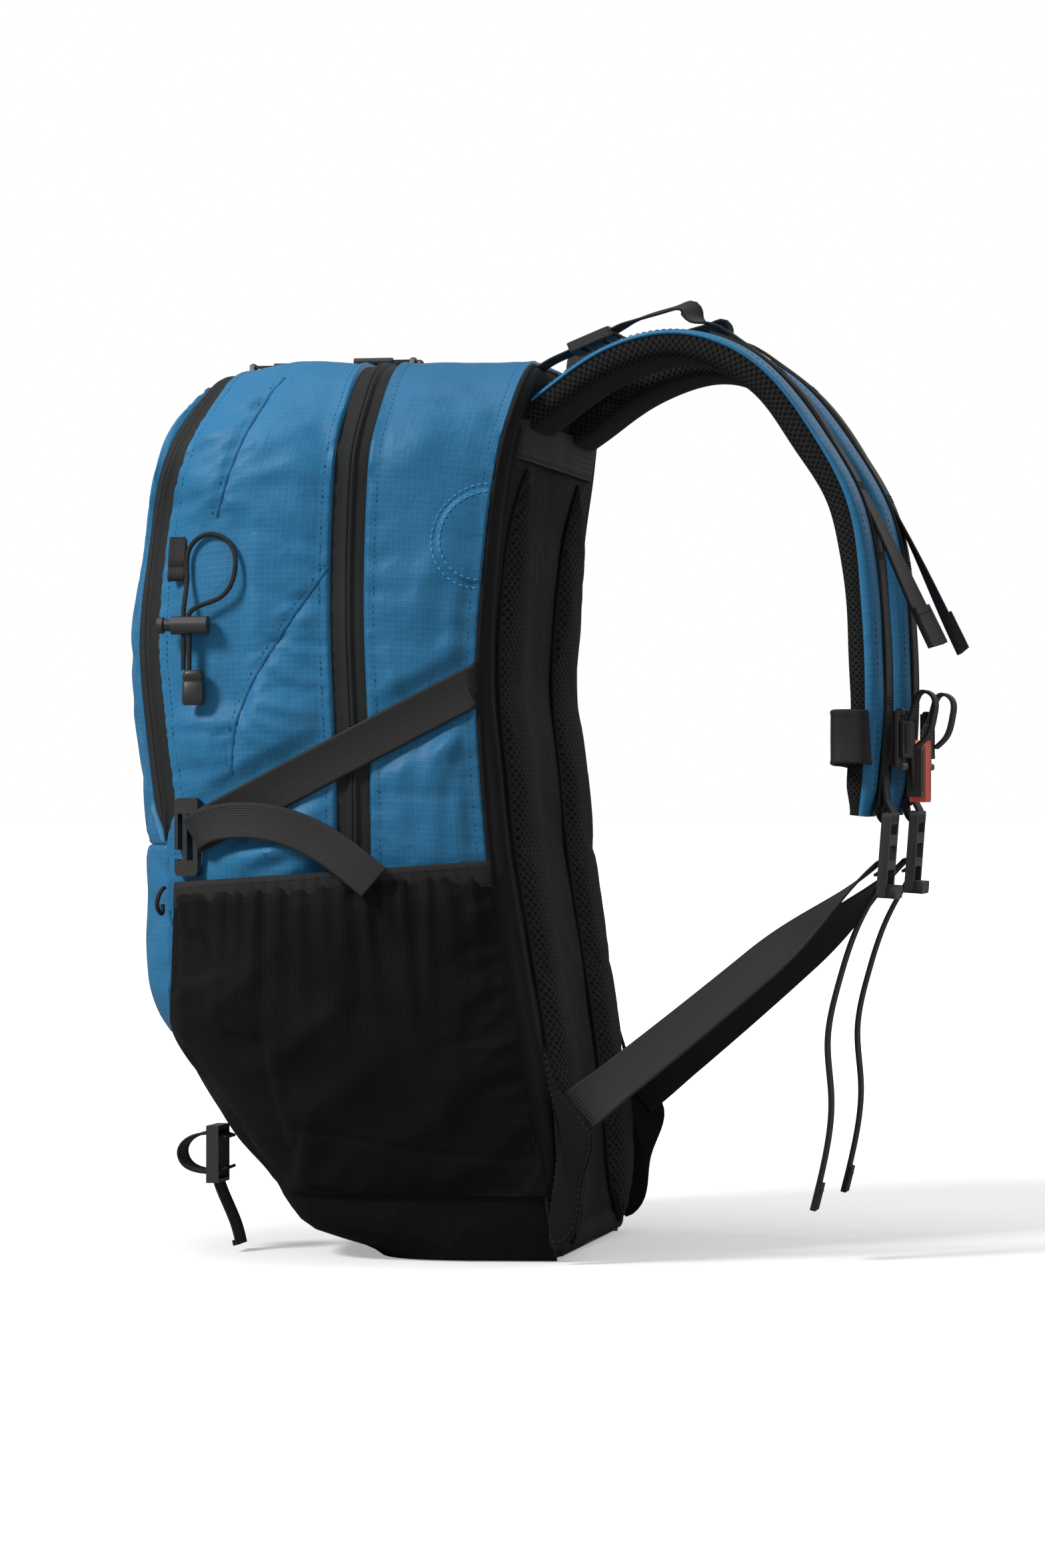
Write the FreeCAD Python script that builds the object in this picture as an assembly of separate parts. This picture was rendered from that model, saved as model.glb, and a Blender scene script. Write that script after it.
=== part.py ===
import FreeCAD, Part
import math
import os
from FreeCAD import Vector

# Daypack, millimetres; +Z up, +Y towards the wearer's back, +X the wearer's right. The parts are
# drawn with depths measured from a plane ahead of the back panel; at the end every part moves
# forward by BASE_Y, which puts the origin on the floor at the middle of the flat bottom face.

# ---- driving dimensions -------------------------------------------------------------------
HEIGHT = 486.0              # floor to the top of the bag
HALF_WIDTH_MAX = 136.0      # half of the bag's width
TOP_CORNER = 65.0           # radius of the two top corners, seen from the front
SQUARENESS = 3.4            # exponent of the rounded front corners, seen from above
REAR_TAPER = 12.0           # each side comes in this much at the rear
REAR_REACH = 145.0          # rear end of the raw bag section, trimmed by the back panel
SKIN = 1.6                  # padded fabric wall
SEWN_Z = 120.0              # seam between the base and the panels above it
FOLD_Z = 205.0              # fold line of the front cover
FLAP_Z = 232.0              # fold line of the front pocket panel
GAP = 1.0                   # clearance between bodies that move apart
ZIP_HALF = 9.0              # half width of a zip's black band
COIL_HALF = 2.4             # half width of the raised zip coil
STRAP_X = 61.0              # middle of each shoulder strap
STRAP_WIDTH = 68.0
STRAP_THICK = 15.0
STRAP_FACE = 2.5            # woven face bonded on each shoulder strap
WEB = 1.5                   # thickness of webbing
STRAP_WEB = 25.0            # width of the webbing sewn on and pulling the shoulder straps
LOOP_WEB = 20.0             # width of the sternum, lifter and axe loop webbing
BASE_Y = 70.0               # depth of the bottom face's middle, where the frame's origin is
WING_X = 105.0              # inner side of the wing panels at the bottom of the back
STRAP_ROOT = (112.0, 463.0)   # (y, z) of the shoulder strap hinge line
SLIDER_BAR = 7.0            # height of a slider's crown bar above the zip
SLIDER_REST_X = 8.0         # the two main sliders meet at the middle of the top
FRONT_SLIDER_Z = 480.0      # height of the front zip at its slider
FRONT_SLIDER_BASE = 485.0   # the front slider rides just above the rounded edge
RIGHT = 1
LEFT = -1

# Smooth curves given as (height, value).
HALF_WIDTH = ((0, 98), (20, 108), (50, 116), (100, 126), (150, 132), (250, 136), (421, 136))
FRONT_UPPER = ((120, -114), (150, -118), (230, -119), (330, -130), (394, -121), (430, -116),
               (450, -107), (470, -93), (480, -82), (486, -66))
FRONT_BASE = ((0, 10), (5, 2), (15, -27), (25, -39), (50, -58), (90, -86), (120, -105))
CORNER_DEPTH = ((0, 60), (60, 80), (120, 105), (486, 105))
REAR_SEAM = ((-20, 119), (27, 115), (104, 104), (160, 95), (221, 87), (315, 81.5), (390, 87),
             (432, 93), (463, 99), (500, 104))
REAR_FACE = ((-20, 122), (60, 120), (110, 114), (160, 106), (220, 97), (260, 93), (315, 88),
             (390, 92), (440, 99), (470, 105), (500, 110))
MAIN_ZIP = ((-20, 15), (250, 15), (350, 11.5), (430, 14), (465, 18.5), (500, 20))
FRONT_ZIP = ((-20, -91), (200, -91), (285, -100.5), (340, -105), (404, -98.5), (440, -88),
             (468, -77), (500, -72))
POCKET_FRONT_EDGE = ((36, -28), (60, -48), (90, -68), (120, -82), (230, -84))

SOLIDS = {}


def put(name, *shapes):
    """Files one or more separate solids under a node name."""
    solids = [solid for shape in shapes for solid in shape.Solids]
    SOLIDS[name] = solids[0] if len(solids) == 1 else Part.makeCompound(solids)


# ---- small geometry tools -----------------------------------------------------------------
def slope(table, i):
    low = table[max(i - 1, 0)]
    high = table[min(i + 1, len(table) - 1)]
    return (high[1] - low[1]) / (high[0] - low[0])


def at(table, z):
    """Value at height z of the smooth curve through a table's points."""
    i = 0
    while i < len(table) - 2 and z > table[i + 1][0]:
        i += 1
    (z0, v0), (z1, v1) = table[i], table[i + 1]
    step = z1 - z0
    s = min(max((z - z0) / step, 0.0), 1.0)
    m0 = slope(table, i) * step
    m1 = slope(table, i + 1) * step
    rise = 3 * s ** 2 - 2 * s ** 3
    return (1 - rise) * v0 + rise * v1 + (s ** 3 - 2 * s ** 2 + s) * m0 + (s ** 3 - s ** 2) * m1


def spline(points):
    curve = Part.BSplineCurve()
    curve.interpolate(points)
    return curve.toShape()


def prism(edges, direction):
    return Part.Face(Part.Wire(edges)).extrude(direction)


def box(x0, x1, y0, y1, z0, z1):
    return Part.makeBox(x1 - x0, y1 - y0, z1 - z0, Vector(x0, y0, z0))


def side_plate(outline, x0, x1):
    """Flat plate with a straight-sided (y, z) outline, from x0 to x1."""
    corners = [Vector(x0, y, z) for y, z in outline]
    return Part.Face(Part.makePolygon(corners + corners[:1])).extrude(Vector(x1 - x0, 0, 0))


def both_sides(shape):
    return shape, shape.mirror(Vector(0, 0, 0), Vector(1, 0, 0))


def on_side(shape, side):
    return shape if side == RIGHT else both_sides(shape)[1]


def slab(front, front_shift, rear, rear_shift, reach=200.0):
    """All the space between two side-view curves, across the bag's width."""
    heights = [-20 + 26 * i for i in range(21)]
    a = [Vector(-reach, at(front, z) + front_shift, z) for z in heights]
    b = [Vector(-reach, at(rear, z) + rear_shift, z) for z in heights]
    edges = [spline(a), Part.makeLine(a[-1], b[-1]), spline(b[::-1]), Part.makeLine(b[0], a[0])]
    return prism(edges, Vector(2 * reach, 0, 0))


def ribbon(points, thickness, x0, x1):
    """Strip of even thickness along a smooth (y, z) path, from x0 to x1."""
    curve = Part.BSplineCurve()
    curve.interpolate([Vector(x0, y, z) for y, z in points])
    count = 5 * len(points)
    sides = ([], [])
    for i in range(count + 1):
        u = curve.FirstParameter + (curve.LastParameter - curve.FirstParameter) * i / count
        along = curve.tangent(u)[0]
        across = Vector(0, -along.z, along.y) * (thickness / 2)
        sides[0].append(curve.value(u) + across)
        sides[1].append(curve.value(u) - across)
    a, b = sides
    edges = [spline(a), Part.makeLine(a[-1], b[-1]), spline(b[::-1]), Part.makeLine(b[0], a[0])]
    return prism(edges, Vector(x1 - x0, 0, 0))


def cord_along(points, radius):
    """Round cord along a smooth path of (x, y, z) points."""
    path = Part.Wire(spline([Vector(*p) for p in points]))
    start = Vector(*points[0])
    heading = path.Edges[0].tangentAt(path.Edges[0].FirstParameter)
    ring = Part.Wire(Part.makeCircle(radius, start, heading))
    pipe = Part.BRepOffsetAPI.MakePipeShell(path)
    pipe.add(ring)
    pipe.build()
    pipe.makeSolid()
    return pipe.shape()


def frame_plate(width, height, depth, windows):
    """Rounded plate in the XZ plane, centred, with rectangular windows (x, z, width, height)."""
    plate = box(-width / 2, width / 2, -depth / 2, depth / 2, -height / 2, height / 2)
    plate = plate.makeFillet(3.0, [e for e in plate.Edges if abs(e.tangentAt(0).y) > 0.9])
    for x, z, wide, tall in windows:
        hole = box(x - wide / 2, x + wide / 2, -depth, depth, z - tall / 2, z + tall / 2)
        plate = plate.cut(hole)
    return plate


def placed(shape, position, turn_x=0.0, turn_z=0.0):
    result = shape.copy()
    result.rotate(Vector(0, 0, 0), Vector(1, 0, 0), turn_x)
    result.rotate(Vector(0, 0, 0), Vector(0, 0, 1), turn_z)
    result.translate(Vector(*position))
    return result


# ---- the bag's outline --------------------------------------------------------------------
def half_width(z):
    corner_start = HEIGHT - TOP_CORNER
    if z <= corner_start:
        return at(HALF_WIDTH, z)
    rise = min(z - corner_start, TOP_CORNER)
    return HALF_WIDTH_MAX - TOP_CORNER + math.sqrt(TOP_CORNER ** 2 - rise ** 2)


def side_x(y, z, front=FRONT_UPPER):
    """Half width of the bag at depth y and height z."""
    w = half_width(z)
    f = at(front, z)
    depth = at(CORNER_DEPTH, z)
    middle = f + depth
    if y >= middle:
        return w - REAR_TAPER * (y - middle) / (REAR_REACH - middle)
    share = min((middle - y) / depth, 1.0)
    return w * (1 - share ** SQUARENESS) ** (1 / SQUARENESS)


def section(z, inset, front, level):
    """Outline of the bag at height z, drawn at height level and pulled in by inset."""
    w = half_width(z) - inset
    f = at(front, z) + inset
    middle = f - inset + at(CORNER_DEPTH, z)
    points = []
    for i in range(15):
        angle = math.pi * i / 14
        x = w * math.copysign(abs(math.cos(angle)) ** (2 / SQUARENESS), math.cos(angle))
        y = middle - (middle - f) * math.sin(angle) ** (2 / SQUARENESS)
        points.append(Vector(x, y, level))
    rear_right = Vector(w - REAR_TAPER, REAR_REACH, level)
    rear_left = Vector(REAR_TAPER - w, REAR_REACH, level)
    edges = [spline(points), Part.makeLine(points[-1], rear_left),
             Part.makeLine(rear_left, rear_right), Part.makeLine(rear_right, points[0])]
    return Part.Wire(edges)


def bag(front, levels, inset):
    """Solid inside the bag's outline over these levels, pulled in by inset on every side."""
    middle = (levels[0] + levels[-1]) / 2
    half = (levels[-1] - levels[0]) / 2
    wires = [section(z, inset, front, middle + (z - middle) * (half - inset) / half)
             for z in levels]
    return Part.makeLoft(wires, True, False)


UPPER_LEVELS = (SEWN_Z, 150, 200, 265, 330, 390, 425, 445, 460, 473, 481, 486)
BASE_LEVELS = (0, 5, 15, 25, 50, 90, SEWN_Z)

upper_outside = bag(FRONT_UPPER, UPPER_LEVELS, 0)
upper_inside = bag(FRONT_UPPER, UPPER_LEVELS, SKIN)
upper_raised = bag(FRONT_UPPER, UPPER_LEVELS, -0.8)
base_outside = bag(FRONT_BASE, BASE_LEVELS, 0)
base_inside = bag(FRONT_BASE, BASE_LEVELS, SKIN)
mouth = Part.Face(section(SEWN_Z, SKIN, FRONT_BASE, SEWN_Z - 2 * SKIN))
mouth = mouth.extrude(Vector(0, 0, 4 * SKIN))
upper_wall = upper_outside.cut(upper_inside).cut(mouth)
base_wall = base_outside.cut(base_inside).cut(mouth)
zip_rib = upper_raised.cut(upper_outside)

behind_main_zip = slab(MAIN_ZIP, ZIP_HALF, REAR_SEAM, 0)
cover_height = box(-200, 200, -200, 200, FOLD_Z + GAP, HEIGHT + 10)
flap_height = box(-200, 200, -200, 200, FLAP_Z + GAP, HEIGHT + 10)
below_fold = box(-200, 200, -200, 200, SEWN_Z - 1, FOLD_Z)


def zip_half(centre, lead, tail, height):
    """Half of a zip: its band sunk in the wall and its raised coil along the opening."""
    band = upper_wall.common(slab(centre, lead, centre, tail)).common(height)
    coil_lead = lead if abs(lead) < 1 else tail - COIL_HALF
    coil_tail = tail if abs(tail) < 1 else lead + COIL_HALF
    coil = zip_rib.common(slab(centre, coil_lead, centre, coil_tail)).common(height)
    return band.fuse(coil)


# ---- bag panels ---------------------------------------------------------------------------
def make_bag_panels():
    rear = upper_wall.common(behind_main_zip)
    lower_side = upper_wall.common(slab(MAIN_ZIP, 0, MAIN_ZIP, ZIP_HALF)).common(below_fold)
    put("rear_shell", rear.fuse(lower_side))
    put("base_panel", base_wall.common(slab(REAR_SEAM, -400, REAR_SEAM, 0)))
    put("lower_front_panel", upper_wall.common(slab(MAIN_ZIP, -400, MAIN_ZIP, 0)).common(below_fold))

    side = upper_wall.common(slab(FRONT_ZIP, ZIP_HALF, MAIN_ZIP, -ZIP_HALF)).common(cover_height)
    band = box(-200, 200, -200, 200, FOLD_Z + GAP, FLAP_Z)
    chin = upper_wall.common(slab(FRONT_ZIP, -400, FRONT_ZIP, ZIP_HALF)).common(band)
    put("front_shell", side.fuse(chin))
    put("front_pocket_panel",
        upper_wall.common(slab(FRONT_ZIP, -400, FRONT_ZIP, -ZIP_HALF)).common(flap_height))
    put("main_zip_rear", zip_half(MAIN_ZIP, 0.2, ZIP_HALF, cover_height))
    put("main_zip_front", zip_half(MAIN_ZIP, -ZIP_HALF, -0.2, cover_height))
    put("front_zip_outer", zip_half(FRONT_ZIP, -ZIP_HALF, -0.2, flap_height))
    put("front_zip_inner", zip_half(FRONT_ZIP, 0.2, ZIP_HALF, flap_height))
    divider = upper_inside.common(slab(FRONT_ZIP, ZIP_HALF + 1, FRONT_ZIP, ZIP_HALF + 2))
    put("front_divider", divider.common(cover_height))


# ---- back panel ---------------------------------------------------------------------------
def back_outline(inset, top):
    """Block behind the bag whose outline follows the bag's rear edge, pulled in by inset."""
    heights = [2 + (top - 2) * (1 - (1 - i / 14) ** 1.5) for i in range(15)]
    right = [Vector(half_width(z) - REAR_TAPER * 0.75 - inset, 60, z) for z in heights]
    left = [Vector(-p.x, p.y, p.z) for p in right]
    edges = [spline(right), Part.makeLine(right[-1], left[-1]), spline(left[::-1]),
             Part.makeLine(left[0], right[0])]
    return prism(edges, Vector(0, 90, 0))


def mesh_pad_outline():
    """Upright pad with a pointed top, seen from behind, right side."""
    points = [Vector(x, 60, z) for x, z in
              ((74, 428), (98, 395), (108, 330), (107, 220), (98, 120), (92, 30), (68, 8),
               (42, 30), (37, 120), (38, 220), (42, 330), (56, 400))]
    curve = Part.BSplineCurve()
    curve.interpolate(points, PeriodicFlag=True)
    return prism([curve.toShape()], Vector(0, 90, 0))


def make_back_panel():
    rim = 7.0
    top = HEIGHT - 3.0
    whole = back_outline(0, top)
    core = back_outline(rim, top - rim)
    strip = whole.cut(core).common(slab(REAR_SEAM, 0, REAR_FACE, 0))
    put("back_edge_strip", strip)
    put("frame_sheet", core.common(slab(REAR_SEAM, 0, REAR_SEAM, 1.2)))
    put("back_foam", core.common(slab(REAR_SEAM, 1.2, REAR_FACE, -0.8)))
    put("back_fabric", core.common(slab(REAR_FACE, -0.8, REAR_FACE, 0)))
    pad = mesh_pad_outline().common(slab(REAR_FACE, 0, REAR_FACE, 7.0))
    put("back_pads", *both_sides(pad))
    yoke = box(-98, 98, 60, 150, 432, 452)
    put("yoke_band", yoke.common(slab(REAR_FACE, 0, REAR_FACE, WEB)))

    wing = side_plate(((114.2, 116), (122, 110), (138, 98), (140, 76), (130, 40), (126, 10),
                       (122.6, 6), (121, 60), (117.2, 95)), WING_X, WING_X + 2.5)
    put("wing_panels", *both_sides(wing))
    sleeve = slab(REAR_SEAM, -4.5, REAR_SEAM, -3).common(box(-85, 85, 60, 120, 60, 380))
    put("hydration_sleeve", sleeve)


def make_port_patch():
    """Half-round stitched patch over the drinking tube's outlet, on the right rear side."""
    disc = Part.makeCylinder(27, 60, Vector(100, 88, 389), Vector(1, 0, 0))
    ahead = slab(REAR_SEAM, -27, REAR_SEAM, -3)
    put("hydration_port_patch", zip_rib.common(disc).common(ahead))


# ---- side pockets -------------------------------------------------------------------------
def pocket_wire(z, stand, thick):
    """Thin closed strip around one side at height z: the pocket's wall."""
    y0 = at(POCKET_FRONT_EDGE, z)
    y1 = at(REAR_SEAM, z) - 1
    bulge = 11.0 * math.sin(min(max((z - 36) / 110, 0), 1) * math.pi / 2)
    front = FRONT_UPPER if z >= SEWN_Z else FRONT_BASE
    inner = []
    for i in range(13):
        share = i / 12
        y = y0 + (y1 - y0) * share
        out = stand + bulge * math.sin(math.pi * share) ** 0.6
        inner.append(Vector(side_x(y, z, front) + out, y, z))
    outer = [p + Vector(thick, 0, 0) for p in inner]
    return Part.Wire([spline(inner), Part.makeLine(inner[-1], outer[-1]), spline(outer[::-1]),
                      Part.makeLine(outer[0], inner[0])])


def pocket_wall(stand, thick):
    levels = (36, 50, 70, 95, SEWN_Z, 150, 180, 205, 225)
    return Part.makeLoft([pocket_wire(z, stand, thick) for z in levels], True, False)


def make_side_pockets():
    rim_low, rim_high = 203.0, 218.0
    rim_depth = 13.0
    below_rim = side_plate(((-100, 0), (110, 0), (110, rim_high - rim_depth),
                            (-100, rim_low - rim_depth)), 40, 180)
    rim = side_plate(((-100, rim_low - rim_depth), (110, rim_high - rim_depth),
                      (110, rim_high), (-100, rim_low)), 40, 180)
    fabric = pocket_wall(1.6, 1.2).common(below_rim)
    binding = pocket_wall(1.4, 2.2).common(rim)
    put("side_pockets", *both_sides(fabric), *both_sides(binding))


# ---- compression straps -------------------------------------------------------------------
def make_compression_straps():
    outer = bag(FRONT_UPPER, UPPER_LEVELS, -2.6).cut(bag(FRONT_UPPER, UPPER_LEVELS, -1.1))
    right_half = box(0, 200, -200, 200, 100, 500)
    sash = side_plate(((81, 321), (-56, 251), (-66, 245), (-66, 222), (-16, 250), (81, 298)), 0, 200)
    band = outer.common(right_half).common(sash)
    rear = band.common(slab(MAIN_ZIP, 0.5, REAR_SEAM, -2))
    front = band.common(slab(MAIN_ZIP, -200, MAIN_ZIP, -0.5))
    tail = side_plate(((-56, 244), (-43, 247), (-17, 243), (10, 228), (30, 203), (15, 194),
                       (0, 214), (-22, 224), (-43, 225), (-56, 222)), 141, 141 + WEB)
    put("compression_straps_rear", *both_sides(rear))
    put("compression_straps_front", *both_sides(front), *both_sides(tail))


def hook_solid():
    """Open-sided hook frame in its own plane, centred: X wide, Z tall."""
    plate = frame_plate(17, 42, 3.2, ((3.0, 0, 4.5, 25), (-4.2, 0, 3.5, 25)))
    throat = box(-12, -5, -5, 5, -12, -7)
    return plate.cut(throat)


HOOK_AT = (131.0, -77.0, 228.5)


def make_hooks():
    turn = 62.0
    right = placed(hook_solid(), HOOK_AT, turn_z=turn)
    left = both_sides(right)[1]
    put("hook_right", right)
    put("hook_left", left)
    loop = cord_along(((124, -92, 201), (128, -94, 197), (127, -95, 190), (123, -94, 187),
                       (121, -94, 192)), 1.2)
    put("hook_loops", *both_sides(loop))


# ---- tool cord and its lock ---------------------------------------------------------------
LOCK_AT = (141.5, -75.0, 342.0)


def press_spring(x, rear_y, z):
    """Coil spring behind the plunger, drawn pressed flat: one solid turn on another."""
    turns = [Part.makeTorus(2.4, 0.36, Vector(x, rear_y - 0.4 - 0.6 * i, z), Vector(0, 1, 0))
             for i in range(2)]
    return turns[0].fuse(turns[1])


def make_cord_lock():
    x, y, z = LOCK_AT
    barrel = Part.makeCylinder(5.0, 20, Vector(x, y - 8, z), Vector(0, 1, 0))
    bore = Part.makeCylinder(3.4, 18, Vector(x, y - 8, z), Vector(0, 1, 0))
    cross_hole = box(x - 2.0, x + 2.0, y - 3.5, y + 3.5, z - 8, z + 8)
    put("cord_lock_body", barrel.cut(bore).cut(cross_hole))
    head = Part.makeCylinder(4.4, 3, Vector(x, y - 15.5, z), Vector(0, 1, 0))
    stem = Part.makeCylinder(3.2, 18, Vector(x, y - 12.5, z), Vector(0, 1, 0))
    slot = box(x - 2.1, x + 2.1, y - 7.8, y + 3.6, z - 8, z + 8)
    put("cord_lock_plunger", head.fuse(stem).cut(slot))
    put("cord_lock_spring", press_spring(x, y + 9.9, z))
    cord = cord_along(((x, y - 1.6, 318), (x, y - 1.6, 328), (x, y - 1.6, 338),
                       (x, y - 1.6, 348), (135, -76.5, 368), (134, -75, 384),
                       (136, -64, 391), (138, -52, 386), (x, -48, 372), (x, -56, 357),
                       (x, y + 1.6, 348), (x, y + 1.6, 338), (x, y + 1.6, 328),
                       (x, y + 1.6, 318)), 1.3)
    put("elastic_cord", cord)
    block = box(x - 3.5, x + 3.5, y - 6, y + 6, 299, 317.5)
    tab = box(131.6, 132.7, -84, -79, 368, 391)
    put("cord_ends", block.makeFillet(2.0, block.Edges), tab)


# ---- zip sliders --------------------------------------------------------------------------
def slider_and_puller(x, y, z, length, ahead):
    """Zip slider running along X on a top surface at height z, and its puller lying flat.

    The puller points forward where ahead is -1 and backward where it is 1.
    """
    bar = z + SLIDER_BAR
    body = box(x - 6, x + 6, y - 4.5, y + 4.5, z + 1.1, z + 3.2)
    for end in (-1, 1):
        foot = x + end * 4.2
        body = body.fuse(box(foot - 1, foot + 1, y - 1.2, y + 1.2, z + 2.5, bar + 1))
    body = body.fuse(Part.makeCylinder(0.9, 8.4, Vector(x - 4.2, y, bar), Vector(1, 0, 0)))
    eye = Part.makeCylinder(2.0, 3, Vector(x - 1.5, y, bar), Vector(1, 0, 0))
    near, far = sorted((y, y + ahead * 13))
    plate = box(x - 1.5, x + 1.5, near, far, bar - 0.8, bar + 0.8)
    grip = Part.makeCylinder(2.1, length, Vector(x, y + ahead * 12, bar), Vector(0, ahead, 0))
    hole = Part.makeCylinder(1.15, 5, Vector(x - 2.5, y, bar), Vector(1, 0, 0))
    return body, eye.fuse(plate).fuse(grip).cut(hole)


def make_sliders():
    zip_y = at(MAIN_ZIP, HEIGHT)
    for name, x in (("right", SLIDER_REST_X), ("left", -SLIDER_REST_X)):
        body, puller = slider_and_puller(x, zip_y, HEIGHT + 0.4, 22, -1)
        put("main_slider_" + name, body)
        put("main_puller_" + name, puller)
    body, puller = slider_and_puller(0, at(FRONT_ZIP, FRONT_SLIDER_Z), FRONT_SLIDER_BASE, 10, 1)
    put("front_slider", body)
    put("front_puller", puller)


# ---- shoulder straps ----------------------------------------------------------------------
STRAP_PATH = (STRAP_ROOT, (138, 481), (184, 493), (222, 478), (252, 442), (272, 407),
              (281, 360), (283.5, 300), (279, 240))


def strap_layer(low, high, x0, x1, trim_start=0.0):
    """Layer of the shoulder strap between two heights above its middle surface."""
    centre = (low + high) / 2
    curve = Part.BSplineCurve()
    curve.interpolate([Vector(0, y, z) for y, z in STRAP_PATH])
    points = []
    for i in range(25):
        share = trim_start + (1 - trim_start) * i / 24
        u = curve.FirstParameter + (curve.LastParameter - curve.FirstParameter) * share
        along = curve.tangent(u)[0]
        p = curve.value(u) + Vector(0, -along.z, along.y) * centre
        points.append((p.y, p.z))
    return ribbon(points, high - low, x0, x1)


def strap_end_tilt():
    (y0, z0), (y1, z1) = STRAP_PATH[-2], STRAP_PATH[-1]
    return math.degrees(math.atan2(y0 - y1, z0 - z1))


LADDER_AT = (STRAP_X, 289.0, 219.0)
LIFTER_AT = (STRAP_X, 132.0, 497.5)


def make_shoulder_strap(side, name):
    x0 = STRAP_X - STRAP_WIDTH / 2
    x1 = STRAP_X + STRAP_WIDTH / 2
    half = STRAP_THICK / 2
    root = Part.makeCylinder(half - 0.5, STRAP_WIDTH, Vector(x0, *STRAP_ROOT), Vector(1, 0, 0))
    body = strap_layer(-half, half - STRAP_FACE, x0, x1, 0.012).fuse(root)
    face = strap_layer(half - STRAP_FACE, half, x0 + 1, x1 - 1, 0.06)
    put("strap_pad_" + name, on_side(body.cut(face), side))
    put("strap_face_" + name, on_side(face, side))
    rail_half = STRAP_WEB / 2
    rail = strap_layer(half + 0.15, half + 0.15 + WEB, STRAP_X - rail_half, STRAP_X + rail_half, 0.24)
    put("strap_rail_" + name, on_side(rail, side))


def ladder_lock():
    """Adjuster of the lower webbing: a frame with three slots and a raised lifting lip."""
    plate = frame_plate(37, 46, 5, ((0, 14, 27, 6), (0, 1, 27, 8), (0, -13, 27, 10)))
    lip = frame_plate(33, 7, 9, ())
    lip.translate(Vector(0, 3, -19.5))
    return plate.fuse(lip)


def make_strap_hardware(side, name):
    tilt = strap_end_tilt()
    lock = placed(ladder_lock(), (LADDER_AT[0], LADDER_AT[1] + 3.5, LADDER_AT[2]), turn_x=-tilt)
    put("ladder_lock_" + name, on_side(lock, side))
    tail = ribbon(((285, 204), (276, 190), (262, 130), (258, 80), (252, 30)), WEB,
                  STRAP_X - 8, STRAP_X + 8)
    put("adjuster_tail_" + name, on_side(tail, side))
    buckle = frame_plate(32, 25, 5, ((0, 6, 24, 4), (0, -5, 24, 4)))
    buckle = placed(buckle, LIFTER_AT, turn_x=-68)
    put("lifter_buckle_" + name, on_side(buckle, side))
    lifter = ribbon(((147, 501), (165, 511), (190, 509), (214, 499), (237, 482), (262, 452),
                     (288, 413), (306, 372), (316, 330)), WEB,
                    STRAP_X - LOOP_WEB / 2, STRAP_X + LOOP_WEB / 2)
    put("lifter_webbing_" + name, on_side(lifter, side))


def make_lower_webbing():
    """Webbing from the wing panel to the ladder lock, turning a quarter along its length."""
    start = Vector(WING_X + 9, 134, 84)
    end = Vector(STRAP_X, 283, 212)
    along = (end - start).normalize()
    flat = Vector(1, 0, 0) - along * along.x
    flat.normalize()
    up = along.cross(flat)
    wires = []
    for i in range(9):
        share = i / 8
        angle = math.radians(90 * (1 - share))
        wide = flat * math.cos(angle) + up * math.sin(angle)
        thin = along.cross(wide)
        p = start + (end - start) * share
        corners = [p + wide * (STRAP_WEB / 2 * a) + thin * (WEB / 2 * b)
                   for a, b in ((1, 1), (1, -1), (-1, -1), (-1, 1))]
        wires.append(Part.makePolygon(corners + corners[:1]))
    put("lower_webbings", *both_sides(Part.makeLoft(wires, True, False)))


# ---- sternum strap ------------------------------------------------------------------------
STERNUM_Z = 281.0           # height of the strap keepers
BUCKLE_Z = 264.0            # the slack webbing lets the buckle hang lower
STERNUM_Y = 301.5


def keeper_loop():
    """Band around the shoulder strap with a bridge for the sternum webbing."""
    x0, x1 = STRAP_X - 37, STRAP_X + 37
    z0, z1 = STERNUM_Z - 15, STERNUM_Z + 15
    ring = box(x0, x1, 267, 297.5, z0, z1).cut(box(x0 + 2, x1 - 2, 269, 295.5, z0 - 1, z1 + 1))
    bridge = box(STRAP_X - 10, STRAP_X - 4, 297.5, 305.5, z0 + 2, z1 - 2)
    tunnel = box(STRAP_X - 20, STRAP_X + 4, 299.5, 303.5, STERNUM_Z - 10.8, STERNUM_Z + 10.8)
    return ring.fuse(bridge.cut(tunnel))


def sternum_webbing(buckle_end, bend, strap_end):
    """Webbing level through the keeper and sloping down to the buckle from the bend."""
    half = LOOP_WEB / 2
    outline = ((buckle_end, BUCKLE_Z + half), (bend, STERNUM_Z + half), (strap_end, STERNUM_Z + half),
               (strap_end, STERNUM_Z - half), (bend, STERNUM_Z - half), (buckle_end, BUCKLE_Z - half))
    corners = [Vector(x, STERNUM_Y - WEB / 2, z) for x, z in outline]
    return Part.Face(Part.makePolygon(corners + corners[:1])).extrude(Vector(0, WEB, 0))


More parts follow.
